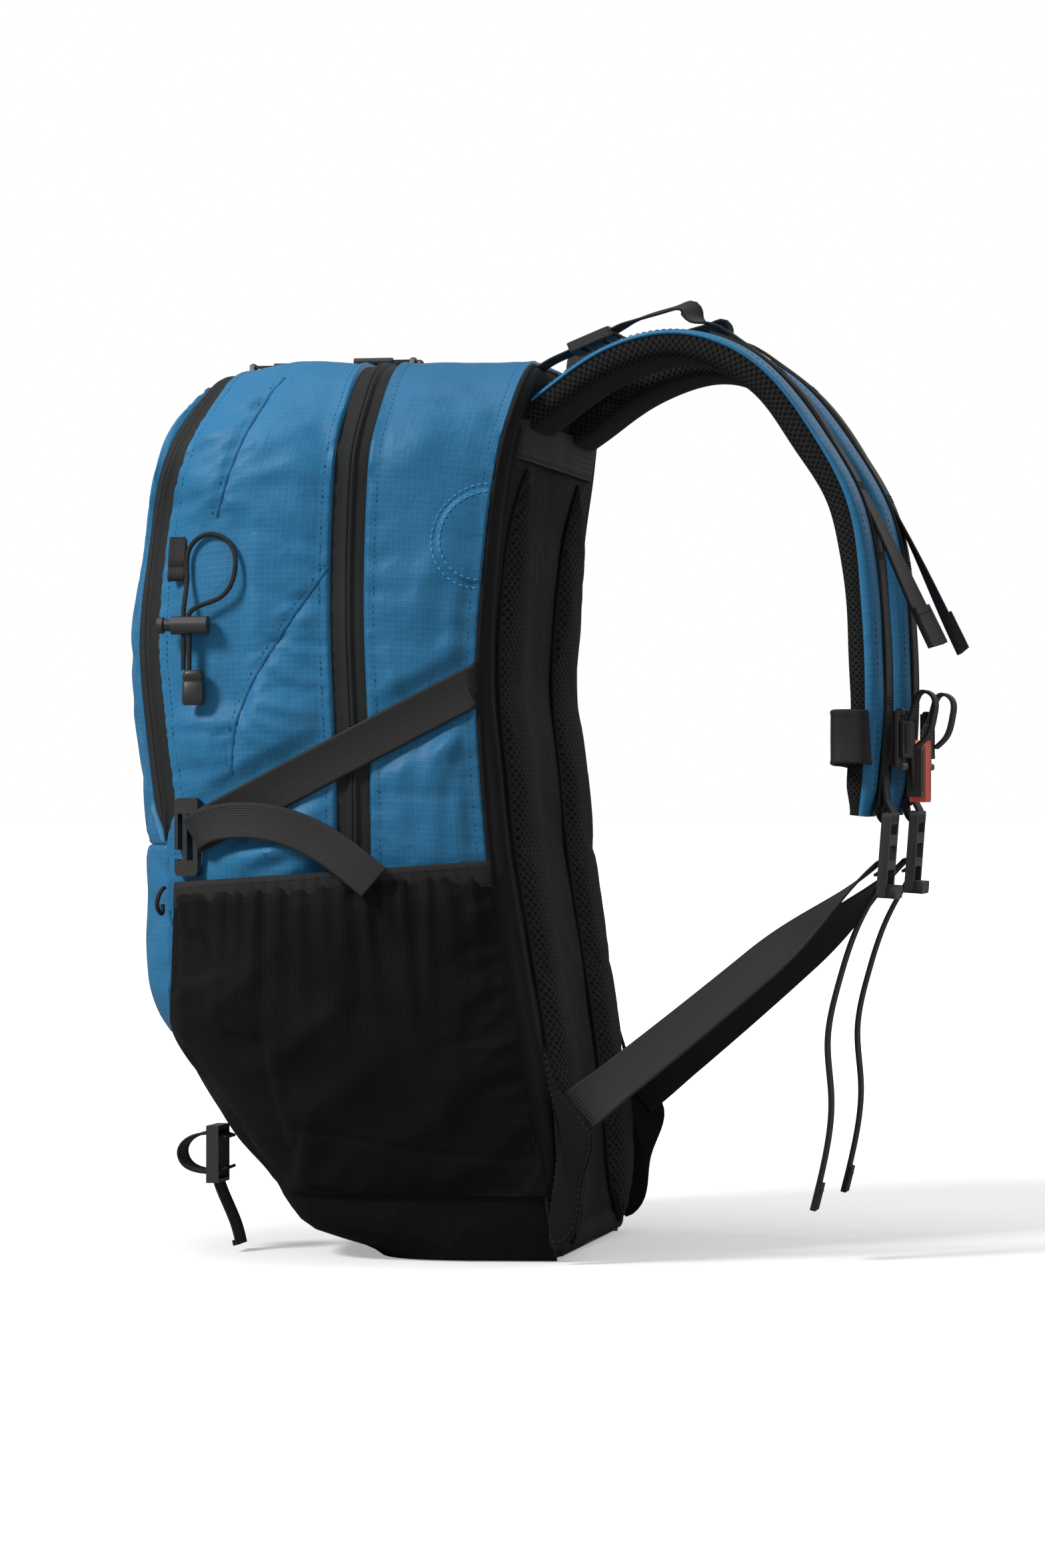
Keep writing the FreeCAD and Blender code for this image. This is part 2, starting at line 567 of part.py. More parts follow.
def make_sternum_strap():
    put("keeper_loop_right", keeper_loop())
    put("keeper_loop_left", both_sides(keeper_loop())[1])
    z, y = BUCKLE_Z, STERNUM_Y
    put("sternum_webbing_right", sternum_webbing(20, 29, 74))
    put("sternum_webbing_left", both_sides(sternum_webbing(26, 38, 74))[1])
    socket = box(-23.2, 3, y - 4.5, y + 4.5, z - 17, z + 17)
    socket = socket.makeFillet(3.0, [e for e in socket.Edges if abs(e.tangentAt(0).y) > 0.9])
    socket = socket.cut(box(-14, 5, y - 2.8, y + 2.8, z - 13.5, z + 13.5))
    for up in (-1, 1):
        middle = z + up * 15
        socket = socket.cut(box(-10, -3, y - 2.8, y + 2.8, middle - 4, middle + 4))
    socket = socket.cut(box(-20.5, -17.5, y - 6, y + 6, z - 11, z + 11))
    put("buckle_socket", socket)
    plug = box(4.2, 19.2, y - 4, y + 4, z - 14, z + 14)
    plug = plug.cut(box(12, 16, y - 6, y + 6, z - 11, z + 11))
    plug = plug.fuse(box(-12, 5, y - 2, y + 2, z - 3, z + 3))
    for up in (-1, 1):
        prong = box(-11, 5, y - 2, y + 2, z + up * 10 - 2.2, z + up * 10 + 2.2)
        plug = plug.fuse(prong)
    put("buckle_plug", plug)


# ---- loops --------------------------------------------------------------------------------
def make_haul_loop():
    """Webbing handle between the shoulder straps, its width front to back."""
    outer = Part.makeCylinder(21, 18, Vector(0, 108.5, 478), Vector(0, 1, 0))
    inner = Part.makeCylinder(21 - WEB, 20, Vector(0, 108, 478), Vector(0, 1, 0))
    put("haul_loop", outer.cut(inner).common(box(-30, 30, 100, 130, 474, 505)))


AXE_LOOP_X = 60.0           # the axe loop hangs on the wearer's right


def make_axe_loop():
    x0, x1 = AXE_LOOP_X - LOOP_WEB / 2, AXE_LOOP_X + LOOP_WEB / 2
    loop = ribbon(((-73, 62), (-87, 64), (-99, 58), (-98, 47), (-86, 42), (-70, 46)), WEB, x0, x1)
    tail = ribbon(((-79, 36), (-74, 26), (-68, 12), (-66, 3)), WEB, x0, x1)
    slide = box(x0 - 2, x1 + 2, -83, -76, 37.5, 69)
    slide = slide.cut(box(x0 - GAP / 2, x1 + GAP / 2, -90, -60, 39.5, 67))
    put("axe_loop", loop, tail)
    put("axe_loop_slide", slide)


# ---- everything ---------------------------------------------------------------------------
make_bag_panels()
make_back_panel()
make_port_patch()
make_side_pockets()
make_compression_straps()
make_hooks()
make_cord_lock()
make_sliders()
for strap_side, strap_name in ((LEFT, "left"), (RIGHT, "right")):
    make_shoulder_strap(strap_side, strap_name)
    make_strap_hardware(strap_side, strap_name)
make_lower_webbing()
make_sternum_strap()
make_haul_loop()
make_axe_loop()

os.makedirs("parts", exist_ok=True)
for node, shape in SOLIDS.items():
    shape = shape.translated(Vector(0, -BASE_Y, 0))
    if not shape.isValid():
        print("not valid:", node)
    shape.exportStep("parts/" + node + ".step")
print(len(SOLIDS), "nodes")
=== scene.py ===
import math
import bpy
import numpy as np
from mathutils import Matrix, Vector
from mathutils.bvhtree import BVHTree


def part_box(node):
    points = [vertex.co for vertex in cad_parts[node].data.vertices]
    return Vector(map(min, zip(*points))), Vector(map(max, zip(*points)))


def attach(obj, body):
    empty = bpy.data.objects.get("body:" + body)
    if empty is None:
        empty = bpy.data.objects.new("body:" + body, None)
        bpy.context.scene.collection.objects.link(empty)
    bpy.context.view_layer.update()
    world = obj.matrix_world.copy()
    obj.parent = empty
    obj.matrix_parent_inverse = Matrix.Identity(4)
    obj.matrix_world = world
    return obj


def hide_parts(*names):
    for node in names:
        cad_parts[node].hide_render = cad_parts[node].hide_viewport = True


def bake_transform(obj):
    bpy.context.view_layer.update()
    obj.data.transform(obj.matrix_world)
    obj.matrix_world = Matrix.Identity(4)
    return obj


# Daypack looks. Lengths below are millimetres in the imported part's frame and become metres
# when a mesh is made.
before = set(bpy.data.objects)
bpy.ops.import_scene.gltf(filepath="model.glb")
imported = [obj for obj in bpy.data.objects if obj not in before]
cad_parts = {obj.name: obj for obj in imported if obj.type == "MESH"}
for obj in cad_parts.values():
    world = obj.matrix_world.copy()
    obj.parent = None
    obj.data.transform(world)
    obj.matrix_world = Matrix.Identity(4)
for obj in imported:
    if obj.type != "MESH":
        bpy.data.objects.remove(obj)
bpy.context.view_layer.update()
MM = 0.001
RIGHT, LEFT = 1, -1
SIDES = ((RIGHT, "right"), (LEFT, "left"))

# ---- the bag's shape -------------------------------------------------------------------------
# Depths below are measured from a line this far in front of the frame's origin.
BASE_Y = 70.0
HEIGHT = 486.0
HALF_WIDTH_MAX = 136.0
TOP_CORNER = 65.0
SQUARENESS = 3.4
REAR_TAPER = 12.0
REAR_REACH = 145.0


def place(x, y, z):
    """Point of the tables below as metres in the frame."""
    return (x * MM, (y - BASE_Y) * MM, z * MM)


SEWN_Z = 120.0
FLAP_SEAM_Z = 224.0                     # bottom seam of the front pocket
ZIP_HALF = 9.0
STRAP_X = 61.0

HALF_WIDTH = ((0, 98), (20, 108), (50, 116), (100, 126), (150, 132), (250, 136), (421, 136))
FRONT_UPPER = ((120, -105.5), (134, -113.5), (150, -117.5), (230, -118.5), (330, -127), (394, -119.5),
               (430, -115), (450, -107), (470, -93), (480, -82), (486, -66))
FRONT_BASE = ((0, 10), (5, 2), (15, -27), (25, -39), (50, -58), (90, -86), (120, -105))
CORNER_DEPTH = ((0, 60), (60, 80), (120, 105), (486, 105))
REAR_SEAM = ((-20, 119), (27, 115), (104, 104), (160, 95), (221, 87), (315, 81.5), (390, 87),
             (432, 93), (463, 99), (500, 104))
REAR_FACE = ((-20, 122), (60, 120), (110, 114), (160, 106), (220, 97), (260, 93), (315, 88),
             (390, 92), (440, 99), (470, 105), (500, 110))
MAIN_ZIP = ((-20, 15), (250, 15), (350, 11.5), (430, 14), (465, 18.5), (500, 20))
FRONT_ZIP = ((-20, -91), (200, -91), (285, -100.5), (340, -105), (404, -98.5), (440, -88),
             (468, -77), (500, -72))
POCKET_FRONT_EDGE = ((36, -28), (60, -49), (90, -73), (120, -93), (150, -90), (230, -85))
STRAP_PATH = ((100, 455), (112, 463), (138, 481), (184, 493), (222, 478), (252, 442), (272, 407),
              (281, 360), (283.5, 300), (279, 240))


def at(table, z):
    """Value at height z of the smooth curve through a table of (height, value)."""
    heights = np.array([p[0] for p in table], float)
    values = np.array([p[1] for p in table], float)
    index = np.arange(len(table))
    low = np.maximum(index - 1, 0)
    high = np.minimum(index + 1, len(table) - 1)
    slopes = (values[high] - values[low]) / (heights[high] - heights[low])
    z = np.asarray(z, float)
    i = np.clip(np.searchsorted(heights, z) - 1, 0, len(table) - 2)
    step = heights[i + 1] - heights[i]
    s = np.clip((z - heights[i]) / step, 0, 1)
    rise = 3 * s ** 2 - 2 * s ** 3
    curved = (s ** 3 - 2 * s ** 2 + s) * slopes[i] + (s ** 3 - s ** 2) * slopes[i + 1]
    return (1 - rise) * values[i] + rise * values[i + 1] + curved * step


def half_width(z):
    rise = np.clip(np.asarray(z, float) - (HEIGHT - TOP_CORNER), 0, TOP_CORNER)
    round_part = HALF_WIDTH_MAX - TOP_CORNER + np.sqrt(TOP_CORNER ** 2 - rise ** 2)
    return np.where(rise > 0, round_part, at(HALF_WIDTH, z))


def side_x(y, z, front=FRONT_UPPER):
    """Half width of the bag at depth y and height z."""
    w = half_width(z)
    depth = at(CORNER_DEPTH, z)
    middle = at(front, z) + depth
    rear = w - REAR_TAPER * (y - middle) / (REAR_REACH - middle)
    share = np.clip((middle - y) / depth, 0, 1)
    corner = w * (1 - share ** SQUARENESS) ** (1 / SQUARENESS)
    return np.where(y >= middle, rear, corner)


def smooth(t):
    t = np.clip(t, 0, 1)
    return t * t * (3 - 2 * t)


def unit(v):
    return v / np.maximum(np.linalg.norm(v, axis=-1, keepdims=True), 1e-9)


def resample(points, count):
    """Evenly spaced points along a polyline."""
    points = np.asarray(points, float)
    length = np.concatenate([[0], np.cumsum(np.linalg.norm(np.diff(points, axis=0), axis=1))])
    wanted = np.linspace(0, length[-1], count)
    return np.stack([np.interp(wanted, length, points[:, k]) for k in range(points.shape[1])], 1)


def curve(points, count):
    """Evenly spaced points on the natural cubic spline through the given points."""
    p = np.asarray(points, float)
    n = len(p)
    t = np.concatenate([[0], np.cumsum(np.linalg.norm(np.diff(p, axis=0), axis=1))])
    h = np.diff(t)
    a = np.zeros((n, n))
    rhs = np.zeros((n, p.shape[1]))
    a[0, 0] = a[-1, -1] = 1
    for i in range(1, n - 1):
        a[i, i - 1:i + 2] = h[i - 1], 2 * (h[i - 1] + h[i]), h[i]
        rhs[i] = 6 * ((p[i + 1] - p[i]) / h[i] - (p[i] - p[i - 1]) / h[i - 1])
    m = np.linalg.solve(a, rhs)
    u = np.linspace(0, t[-1], 40 * n)
    i = np.clip(np.searchsorted(t, u) - 1, 0, n - 2)
    lo, hi, step = (t[i + 1] - u)[:, None], (u - t[i])[:, None], h[i][:, None]
    fine = (m[i] * lo ** 3 + m[i + 1] * hi ** 3) / (6 * step)
    fine += (p[i] / step - m[i] * step / 6) * lo + (p[i + 1] / step - m[i + 1] * step / 6) * hi
    return resample(fine, count)


def ripple(y, z, seed, reach, height):
    """Soft, repeatable unevenness of cloth over a surface, about +-height."""
    rng = np.random.default_rng(seed)
    total = np.zeros(np.broadcast(y, z).shape)
    for _ in range(9):
        angle = rng.uniform(0, math.pi)
        pitch = reach * rng.uniform(0.55, 1.6)
        phase = rng.uniform(0, 2 * math.pi)
        total = total + np.sin((y * math.cos(angle) + z * math.sin(angle)) * 2 * math.pi / pitch + phase)
    return total * height / 3.2


def ridge(y, z, fold):
    """Height of one fold: (y0, z0, y1, z1, half width, height), fading out at both ends."""
    y0, z0, y1, z1, wide, tall = fold
    along = np.array([y1 - y0, z1 - z0], float)
    length = np.linalg.norm(along)
    along /= length
    run = ((y - y0) * along[0] + (z - z0) * along[1]) / length
    off = (y - y0) * -along[1] + (z - z0) * along[0]
    off = off + 0.06 * length * np.sin(np.clip(run, 0, 1) * math.pi)
    ends = np.sin(np.clip(run, 0, 1) * math.pi) ** 0.7
    return tall * ends * np.exp(-(off / wide) ** 2)


def groove(y, z, line, wide, deep):
    """Stitched seam pressed into cloth along a polyline of (y, z)."""
    nearest = np.full(np.broadcast(y, z).shape, 1e9)
    points = np.asarray(line, float)
    for (y0, z0), (y1, z1) in zip(points[:-1], points[1:]):
        length2 = (y1 - y0) ** 2 + (z1 - z0) ** 2
        s = np.clip(((y - y0) * (y1 - y0) + (z - z0) * (z1 - z0)) / length2, 0, 1)
        nearest = np.minimum(nearest, np.hypot(y - y0 - s * (y1 - y0), z - z0 - s * (z1 - z0)))
    return nearest, -deep * np.exp(-(nearest / wide) ** 2)


# ---- meshes ---------------------------------------------------------------------------------
class Cloth:
    """Collects the surfaces of one piece, in millimetres, with fabric coordinates."""

    def __init__(self):
        self.points = []
        self.faces = []
        self.fabric = []
        self.slots = []
        self.count = 0

    def add(self, points, faces, fabric=None, slot=0):
        points = np.asarray(points, float).reshape(-1, 3)
        if fabric is None:
            fabric = points[:, 1:3]
        self.points.append(points)
        self.fabric.append(np.asarray(fabric, float).reshape(-1, 2))
        self.faces += [tuple(int(v) + self.count for v in face) for face in faces]
        self.slots += [slot] * len(faces)
        self.count += len(points)

    def piece(self, name, materials, sharp=50.0, slot=None, nodes=(), body=None):
        """Makes the object, which stands for these CAD nodes and rides on this body."""
        mesh = bpy.data.meshes.new(name)
        points = (np.vstack(self.points) - (0, BASE_Y, 0)) * MM
        mesh.from_pydata([tuple(p) for p in points], [], self.faces)
        fabric = np.vstack(self.fabric)
        corners = np.empty(len(mesh.loops), np.int32)
        mesh.loops.foreach_get("vertex_index", corners)
        layer = mesh.uv_layers.new(name="fabric")
        layer.data.foreach_set("uv", fabric[corners].astype(np.float32).ravel())
        mesh.polygons.foreach_set("material_index", np.array(self.slots, np.int32))
        for material in materials:
            mesh.materials.append(material)
        mesh.shade_smooth()
        mesh.set_sharp_from_angle(angle=math.radians(sharp))
        obj = bpy.data.objects.new(name, mesh)
        bpy.context.scene.collection.objects.link(obj)
        if nodes:
            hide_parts(*nodes)
        if body:
            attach(obj, body)
        return obj


def quads(rows, columns, wrap=False):
    """Faces of a grid of points; wrap joins the last column to the first."""
    i = np.arange(rows - 1)[:, None]
    j = np.arange(columns if wrap else columns - 1)[None, :]
    k = (j + 1) % columns
    faces = [i * columns + j, (i + 1) * columns + j, (i + 1) * columns + k, i * columns + k]
    return np.stack([f.ravel() for f in faces], 1)


def normals(grid):
    """Outward unit normals of a grid whose rows run to the rear and columns up the right side."""
    return unit(np.cross(np.gradient(grid, axis=0), np.gradient(grid, axis=1)))


def sheet(*parts):
    """Grid of points from coordinates that broadcast together."""
    return np.stack(np.broadcast_arrays(*parts), 2)


def fabric_of(grid):
    """Fabric coordinates in mm: along the rows and along the columns."""
    across = np.linalg.norm(np.diff(grid, axis=0), axis=2)
    along = np.linalg.norm(np.diff(grid, axis=1), axis=2)
    u = np.concatenate([[0], np.cumsum(across.mean(1))])
    v = np.concatenate([[0], np.cumsum(along.mean(0))])
    return sheet(u[:, None], v[None, :])


def thick(cloth, grid, thickness, slot=0, back_slot=1, out=None):
    """Adds a closed sheet: the outer grid, an inner copy and the edges between them."""
    rows, columns = grid.shape[:2]
    n = normals(grid) if out is None else out
    inner = grid - n * thickness
    fabric = fabric_of(grid)
    faces = quads(rows, columns)
    total = rows * columns
    both = np.vstack([grid.reshape(-1, 3), inner.reshape(-1, 3)])
    coords = np.vstack([fabric.reshape(-1, 2)] * 2)
    cloth.add(both, faces, coords, slot)
    start = cloth.count - len(both)
    rim = np.concatenate([np.arange(columns), np.arange(1, rows) * columns + columns - 1,
                          (rows - 1) * columns + np.arange(columns - 2, -1, -1),
                          np.arange(rows - 2, 0, -1) * columns])
    after = np.roll(rim, -1)
    back = faces[:, ::-1] + total
    edge = np.stack([rim, after, after + total, rim + total], 1)
    for group in (back, edge):
        cloth.faces += [tuple(int(v) + start for v in face) for face in group]
        cloth.slots += [back_slot] * len(group)


def sweep(cloth, path, across, profile, slot=0):
    """Adds a closed section carried along a path. The section's points are (across, up)."""
    path = np.asarray(path, float)
    heading = unit(np.gradient(path, axis=0))
    across = np.broadcast_to(np.asarray(across, float), path.shape)
    across = unit(across - heading * (across * heading).sum(1, keepdims=True))
    up = np.cross(heading, across)
    section = np.asarray(profile, float)
    if section.ndim == 2:
        section = np.broadcast_to(section, (len(path),) + section.shape)
    grid = path[:, None] + across[:, None] * section[..., :1] + up[:, None] * section[..., 1:]
    run = np.concatenate([[0], np.cumsum(np.linalg.norm(np.diff(path, axis=0), axis=1))])
    girth = np.linalg.norm(np.diff(section[0], axis=0), axis=1)
    girth = np.concatenate([[0], np.cumsum(girth)])
    fabric = sheet(girth[None, :], run[:, None])
    rows, columns = grid.shape[:2]
    faces = [tuple(f) for f in quads(rows, columns, wrap=True)]
    faces.append(tuple(range(columns)))
    faces.append(tuple(range(rows * columns - 1, (rows - 1) * columns - 1, -1)))
    cloth.add(grid.reshape(-1, 3), faces, fabric.reshape(-1, 2), slot)


def oval(width, height, count=20, square=2.0):
    """Closed rounded section."""
    t = np.linspace(0, 2 * math.pi, count, endpoint=False)
    a = np.abs(np.cos(t)) ** (2 / square) * np.sign(np.cos(t)) * width / 2
    b = np.abs(np.sin(t)) ** (2 / square) * np.sign(np.sin(t)) * height / 2
    return np.stack([a, b], 1)


def band_section(width, thickness):
    """Flat webbing: thin, with slightly thicker selvedges."""
    half = width / 2
    t = thickness / 2
    top = [(-half, 0.25 * t), (-half + 0.4, t), (-half + 1.6, 1.15 * t), (-half + 2.6, 0.85 * t),
           (0, 0.95 * t), (half - 2.6, 0.85 * t), (half - 1.6, 1.15 * t), (half - 0.4, t),
           (half, 0.25 * t)]
    return np.array(top + [(a, -b) for a, b in reversed(top)])


def stitches(cloth, path, out, length=2.2, gap=1.1, radius=0.34, slot=0, lift=0.1):
    """Row of thread stitches lying on a surface along a path."""
    path = np.asarray(path, float)
    run = np.linalg.norm(np.diff(path, axis=0), axis=1).sum()
    count = max(int(run / (length + gap)), 1)
    even = resample(path, 2 * count + 1)
    out = unit(np.broadcast_to(np.asarray(out, float), path.shape))
    out = unit(resample(np.hstack([path, out]), 2 * count + 1)[:, 3:])
    along = unit(np.gradient(even, axis=0))
    ring = np.linspace(0, 2 * math.pi, 6, endpoint=False)
    stations = ((-0.5, 0.45, -0.5), (-0.32, 1.0, 0.1), (0.32, 1.0, 0.1), (0.5, 0.45, -0.5))
    for k in range(1, 2 * count, 2):
        side = np.cross(along[k], out[k])
        rows = []
        for share, fat, rise in stations:
            centre = even[k] + along[k] * share * length + out[k] * (lift + rise * radius)
            rows.append([centre + (side * math.cos(a) * 1.2 + out[k] * math.sin(a)) * radius * fat
                         for a in ring])
        faces = [tuple(f) for f in quads(4, 6, wrap=True)]
        faces += [tuple(range(5, -1, -1)), tuple(range(18, 24))]
        cloth.add(np.array(rows), faces, None, slot)


# ---- cloth simulation -----------------------------------------------------------------------
FRAMES = 20
STIFFNESS = 8.0


def simulate(points, faces, held, pressure, swell, cap):
    """Lets cloth settle: held points stay, the rest swells and wrinkles, moving at most cap."""
    mesh = bpy.data.meshes.new("cloth")
    mesh.from_pydata([tuple(p) for p in points * MM], [], [tuple(int(v) for v in f) for f in faces])
    obj = bpy.data.objects.new("cloth", mesh)
    bpy.context.scene.collection.objects.link(obj)
    group = obj.vertex_groups.new(name="held")
    group.add([int(i) for i in np.nonzero(held)[0]], 1.0, "REPLACE")
    modifier = obj.modifiers.new("cloth", "CLOTH")
    settings = modifier.settings
    settings.quality = 5
    settings.mass = 0.15
    settings.tension_stiffness = STIFFNESS
    settings.compression_stiffness = STIFFNESS
    settings.shear_stiffness = STIFFNESS / 2
    settings.bending_stiffness = 0.3
    settings.use_pressure = pressure != 0
    settings.uniform_pressure_force = pressure
    settings.shrink_min = -swell
    settings.effector_weights.gravity = 0
    settings.vertex_group_mass = "held"
    modifier.collision_settings.use_collision = False
    modifier.point_cache.frame_end = FRAMES
    scene = bpy.context.scene
    for number in range(1, FRAMES + 1):
        scene.frame_set(number)
    settled = obj.evaluated_get(bpy.context.evaluated_depsgraph_get()).to_mesh()
    moved = np.empty(len(points) * 3, np.float32)
    settled.vertices.foreach_get("co", moved)
    scene.frame_set(1)
    bpy.data.objects.remove(obj)
    bpy.data.meshes.remove(mesh)
    step = moved.reshape(-1, 3) / MM - points
    far = np.linalg.norm(step, axis=1, keepdims=True)
    step = step / np.maximum(far, 1e-9) * cap * np.tanh(far / cap)
    return points + step


def settle_sheet(grid, pressure, swell, cap, inward):
    """Cloth simulation of a sheet held along its edges; it sinks inward at most a little."""
    rows, columns = grid.shape[:2]
    held = np.zeros((rows, columns), bool)
    held[[0, -1]] = True
    held[:, [0, -1]] = True
    flat = grid.reshape(-1, 3)
    moved = simulate(flat, quads(rows, columns), held.ravel(), pressure, swell, cap)
    step = (moved - flat).reshape(grid.shape)
    n = normals(grid)
    rise = (step * n).sum(2)
    step = step - n * rise[..., None] + n * np.maximum(rise, -inward)[..., None]
    return grid + step


# ---- materials ------------------------------------------------------------------------------
class Look:
    """One procedural material, built from socket arithmetic."""

    def __init__(self, name, roughness, specular=0.4):
        self.material = bpy.data.materials.new(name)
        self.material.use_nodes = True
        self.tree = self.material.node_tree
        self.shader = self.tree.nodes["Principled BSDF"]
        self.shader.inputs["Roughness"].default_value = roughness
        self.shader.inputs["Specular IOR Level"].default_value = specular

    def link(self, value, socket):
        if isinstance(value, (int, float)):
            socket.default_value = value
        elif isinstance(value, (tuple, list)):
            socket.default_value = tuple(value) + (1.0,) * (len(socket.default_value) - len(value))
        else:
            self.tree.links.new(value, socket)

    def math(self, operation, a, b=0.0, c=0.0):
        node = self.tree.nodes.new("ShaderNodeMath")
        node.operation = operation
        for value, socket in zip((a, b, c), node.inputs):
            self.link(value, socket)
        return node.outputs[0]

    def fabric(self):
        """Fabric coordinates in mm, for pieces made here."""
        return self.split(self.tree.nodes.new("ShaderNodeUVMap").outputs[0], 1.0)

    def solid(self):
        """Object coordinates in mm, for CAD nodes and some pieces made here."""
        return self.split(self.tree.nodes.new("ShaderNodeTexCoord").outputs["Object"], 1 / MM)

    def split(self, vector, scale):
        node = self.tree.nodes.new("ShaderNodeSeparateXYZ")
        self.link(vector, node.inputs[0])
        return [self.math("MULTIPLY", out, scale) for out in node.outputs]

    def sine(self, value, pitch):
        return self.math("SINE", self.math("MULTIPLY_ADD", value, 2 * math.pi / pitch, 0.0))

    def noise(self, scale, detail=2.0, stretch=(1, 1, 1)):
        """Noise over the object, scale in waves per metre; about 0 to 1."""
        where = self.tree.nodes.new("ShaderNodeTexCoord").outputs["Object"]
        mapping = self.tree.nodes.new("ShaderNodeMapping")
        self.link(where, mapping.inputs["Vector"])
        mapping.inputs["Scale"].default_value = stretch
        node = self.tree.nodes.new("ShaderNodeTexNoise")
        self.link(mapping.outputs[0], node.inputs["Vector"])
        node.inputs["Scale"].default_value = scale
        node.inputs["Detail"].default_value = detail
        return node.outputs[0]

    def crinkle(self, scale, stretch, sharpness):
        """Thin raised creases where the noise crosses its middle value; 0 to 1."""
        swing = self.math("MULTIPLY_ADD", self.noise(scale, 3.0, stretch), 2.0, -1.0)
        near = self.math("SUBTRACT", 1.0, self.math("ABSOLUTE", swing))
        return self.math("POWER", near, sharpness)

    def mix(self, share, a, b):
        node = self.tree.nodes.new("ShaderNodeMix")
        node.data_type = "RGBA"
        self.link(share, node.inputs["Factor"])
        self.link(a, node.inputs[6])
        self.link(b, node.inputs[7])
        return node.outputs[2]

    def ramp(self, value, low, high):
        """0 below low, 1 above high."""
        node = self.tree.nodes.new("ShaderNodeMapRange")
        node.interpolation_type = "SMOOTHSTEP"
        for given, socket in zip((value, low, high), node.inputs):
            self.link(given, socket)
        return node.outputs[0]

    def colour(self, value):
        self.link(value, self.shader.inputs["Base Color"])

    def roughness(self, value):
        self.link(value, self.shader.inputs["Roughness"])

    def bump(self, height, depth_mm, strength=1.0):
        node = self.tree.nodes.new("ShaderNodeBump")
        node.inputs["Strength"].default_value = strength
        node.inputs["Distance"].default_value = depth_mm * MM
        self.link(height, node.inputs["Height"])
        self.link(node.outputs[0], self.shader.inputs["Normal"])

    def sheen(self, weight, tint=(1, 1, 1)):
        self.shader.inputs["Sheen Weight"].default_value = weight
        self.shader.inputs["Sheen Roughness"].default_value = 0.45
        self.shader.inputs["Sheen Tint"].default_value = tuple(tint) + (1.0,)


def shade(colour, factor):
    return tuple(min(c * factor, 1.0) for c in colour)


def ripstop(name, base, grid_mm=3.2, gain=1.3, sheen=0.02, rough=0.5, specular=0.22):
    """Thin coated cloth with a grid of thicker threads."""
    look = Look(name, rough, specular)
    u, v, _ = look.fabric()
    line_u = look.ramp(look.sine(u, grid_mm), 0.62, 0.98)
    line_v = look.ramp(look.sine(v, grid_mm), 0.62, 0.98)
    lines = look.math("MAXIMUM", line_u, line_v)
    weave = look.math("MULTIPLY", look.sine(u, 0.85), look.sine(v, 0.85))
    tone = look.noise(14.0, 3.0)
    streak = look.noise(120.0, 2.0, (1, 1, 6))
    body = look.mix(tone, shade(base, 0.86), shade(base, 1.12))
    body = look.mix(look.math("MULTIPLY", streak, 0.3), body, shade(base, 0.72))
    body = look.mix(look.math("MULTIPLY", lines, 0.34), body, shade(base, gain))
    look.colour(body)
    look.roughness(look.math("MULTIPLY_ADD", tone, 0.16, rough - 0.08))
    height = look.math("MULTIPLY_ADD", weave, 0.16, lines)
    creases = look.crinkle(26.0, (1, 1, 0.7), 3.0)
    fine = look.crinkle(75.0, (1, 0.8, 1), 2.0)
    creases = look.math("MULTIPLY_ADD", fine, 0.35, creases)
    look.bump(look.math("MULTIPLY_ADD", height, 0.06, creases), 1.2, 0.5)
    look.sheen(sheen, shade(base, 3.0))
    return look.material


def plain_cloth(name, base, pitch=0.9, rough=0.8, depth=0.12):
    """Plain-woven matt cloth."""
    look = Look(name, rough, 0.12)
    u, v, _ = look.fabric()
    weave = look.math("MULTIPLY", look.sine(u, pitch), look.sine(v, pitch))
    tone = look.noise(22.0, 3.0)
    look.colour(look.mix(look.math("MULTIPLY_ADD", weave, 0.2, tone), shade(base, 0.75),
                         shade(base, 1.6)))
    look.bump(weave, depth, 0.5)
    look.sheen(0.02)
    return look.material


def stretch_cloth(name, base):
    """Black two-way stretch weave with faint cross ribs."""
    look = Look(name, 0.75, 0.12)
    u, v, _ = look.fabric()
    ribs = look.ramp(look.sine(v, 3.0), 0.1, 0.95)
    cross = look.ramp(look.sine(u, 3.0), 0.3, 0.98)
    fine = look.math("MULTIPLY", look.sine(u, 0.9), look.sine(v, 0.9))
    both = look.math("MAXIMUM", ribs, cross)
    tone = look.noise(18.0, 3.0)
    body = look.mix(tone, shade(base, 0.7), shade(base, 1.5))
    look.colour(look.mix(look.math("MULTIPLY", both, 0.4), body, shade(base, 2.1)))
    look.bump(look.math("MULTIPLY_ADD", fine, 0.3, both), 0.12, 0.5)
    look.sheen(0.015)
    return look.material


def spacer_mesh(name, base, solid=False, pitch=5.4):
    """Open spacer mesh: staggered rounded holes, coloured dark partly for the darker foam beneath and
    partly as painted shade inside them.
    """
    look = Look(name, 0.85, 0.12)
    if solid:
        u, _, v = look.solid()
    else:
        u, v, _ = look.fabric()
    tall = pitch * 0.8
    holes = None
    for shift in (0.0, 0.5):
        parts = []
        for value, step in ((u, pitch), (v, tall)):
            cell = look.math("FRACT", look.math("MULTIPLY_ADD", value, 1 / step, shift + 50))
            centred = look.math("SUBTRACT", cell, 0.5)
            parts.append(look.math("MULTIPLY", centred, centred))
        far = look.math("SQRT", look.math("MULTIPLY_ADD", parts[1], 1.5, parts[0]))
        holes = far if holes is None else look.math("MINIMUM", holes, far)
    thread = look.ramp(holes, 0.20, 0.33)
    tone = look.noise(25.0, 3.0)
    body = look.mix(tone, shade(base, 0.9), shade(base, 1.35))
    # The holes' near-black is partly the foam beneath and partly painted shade in the hole recesses.
    look.colour(look.mix(thread, shade(base, 0.25), body))
    look.bump(thread, 0.9, 0.9)
    look.sheen(0.02)
    return look.material


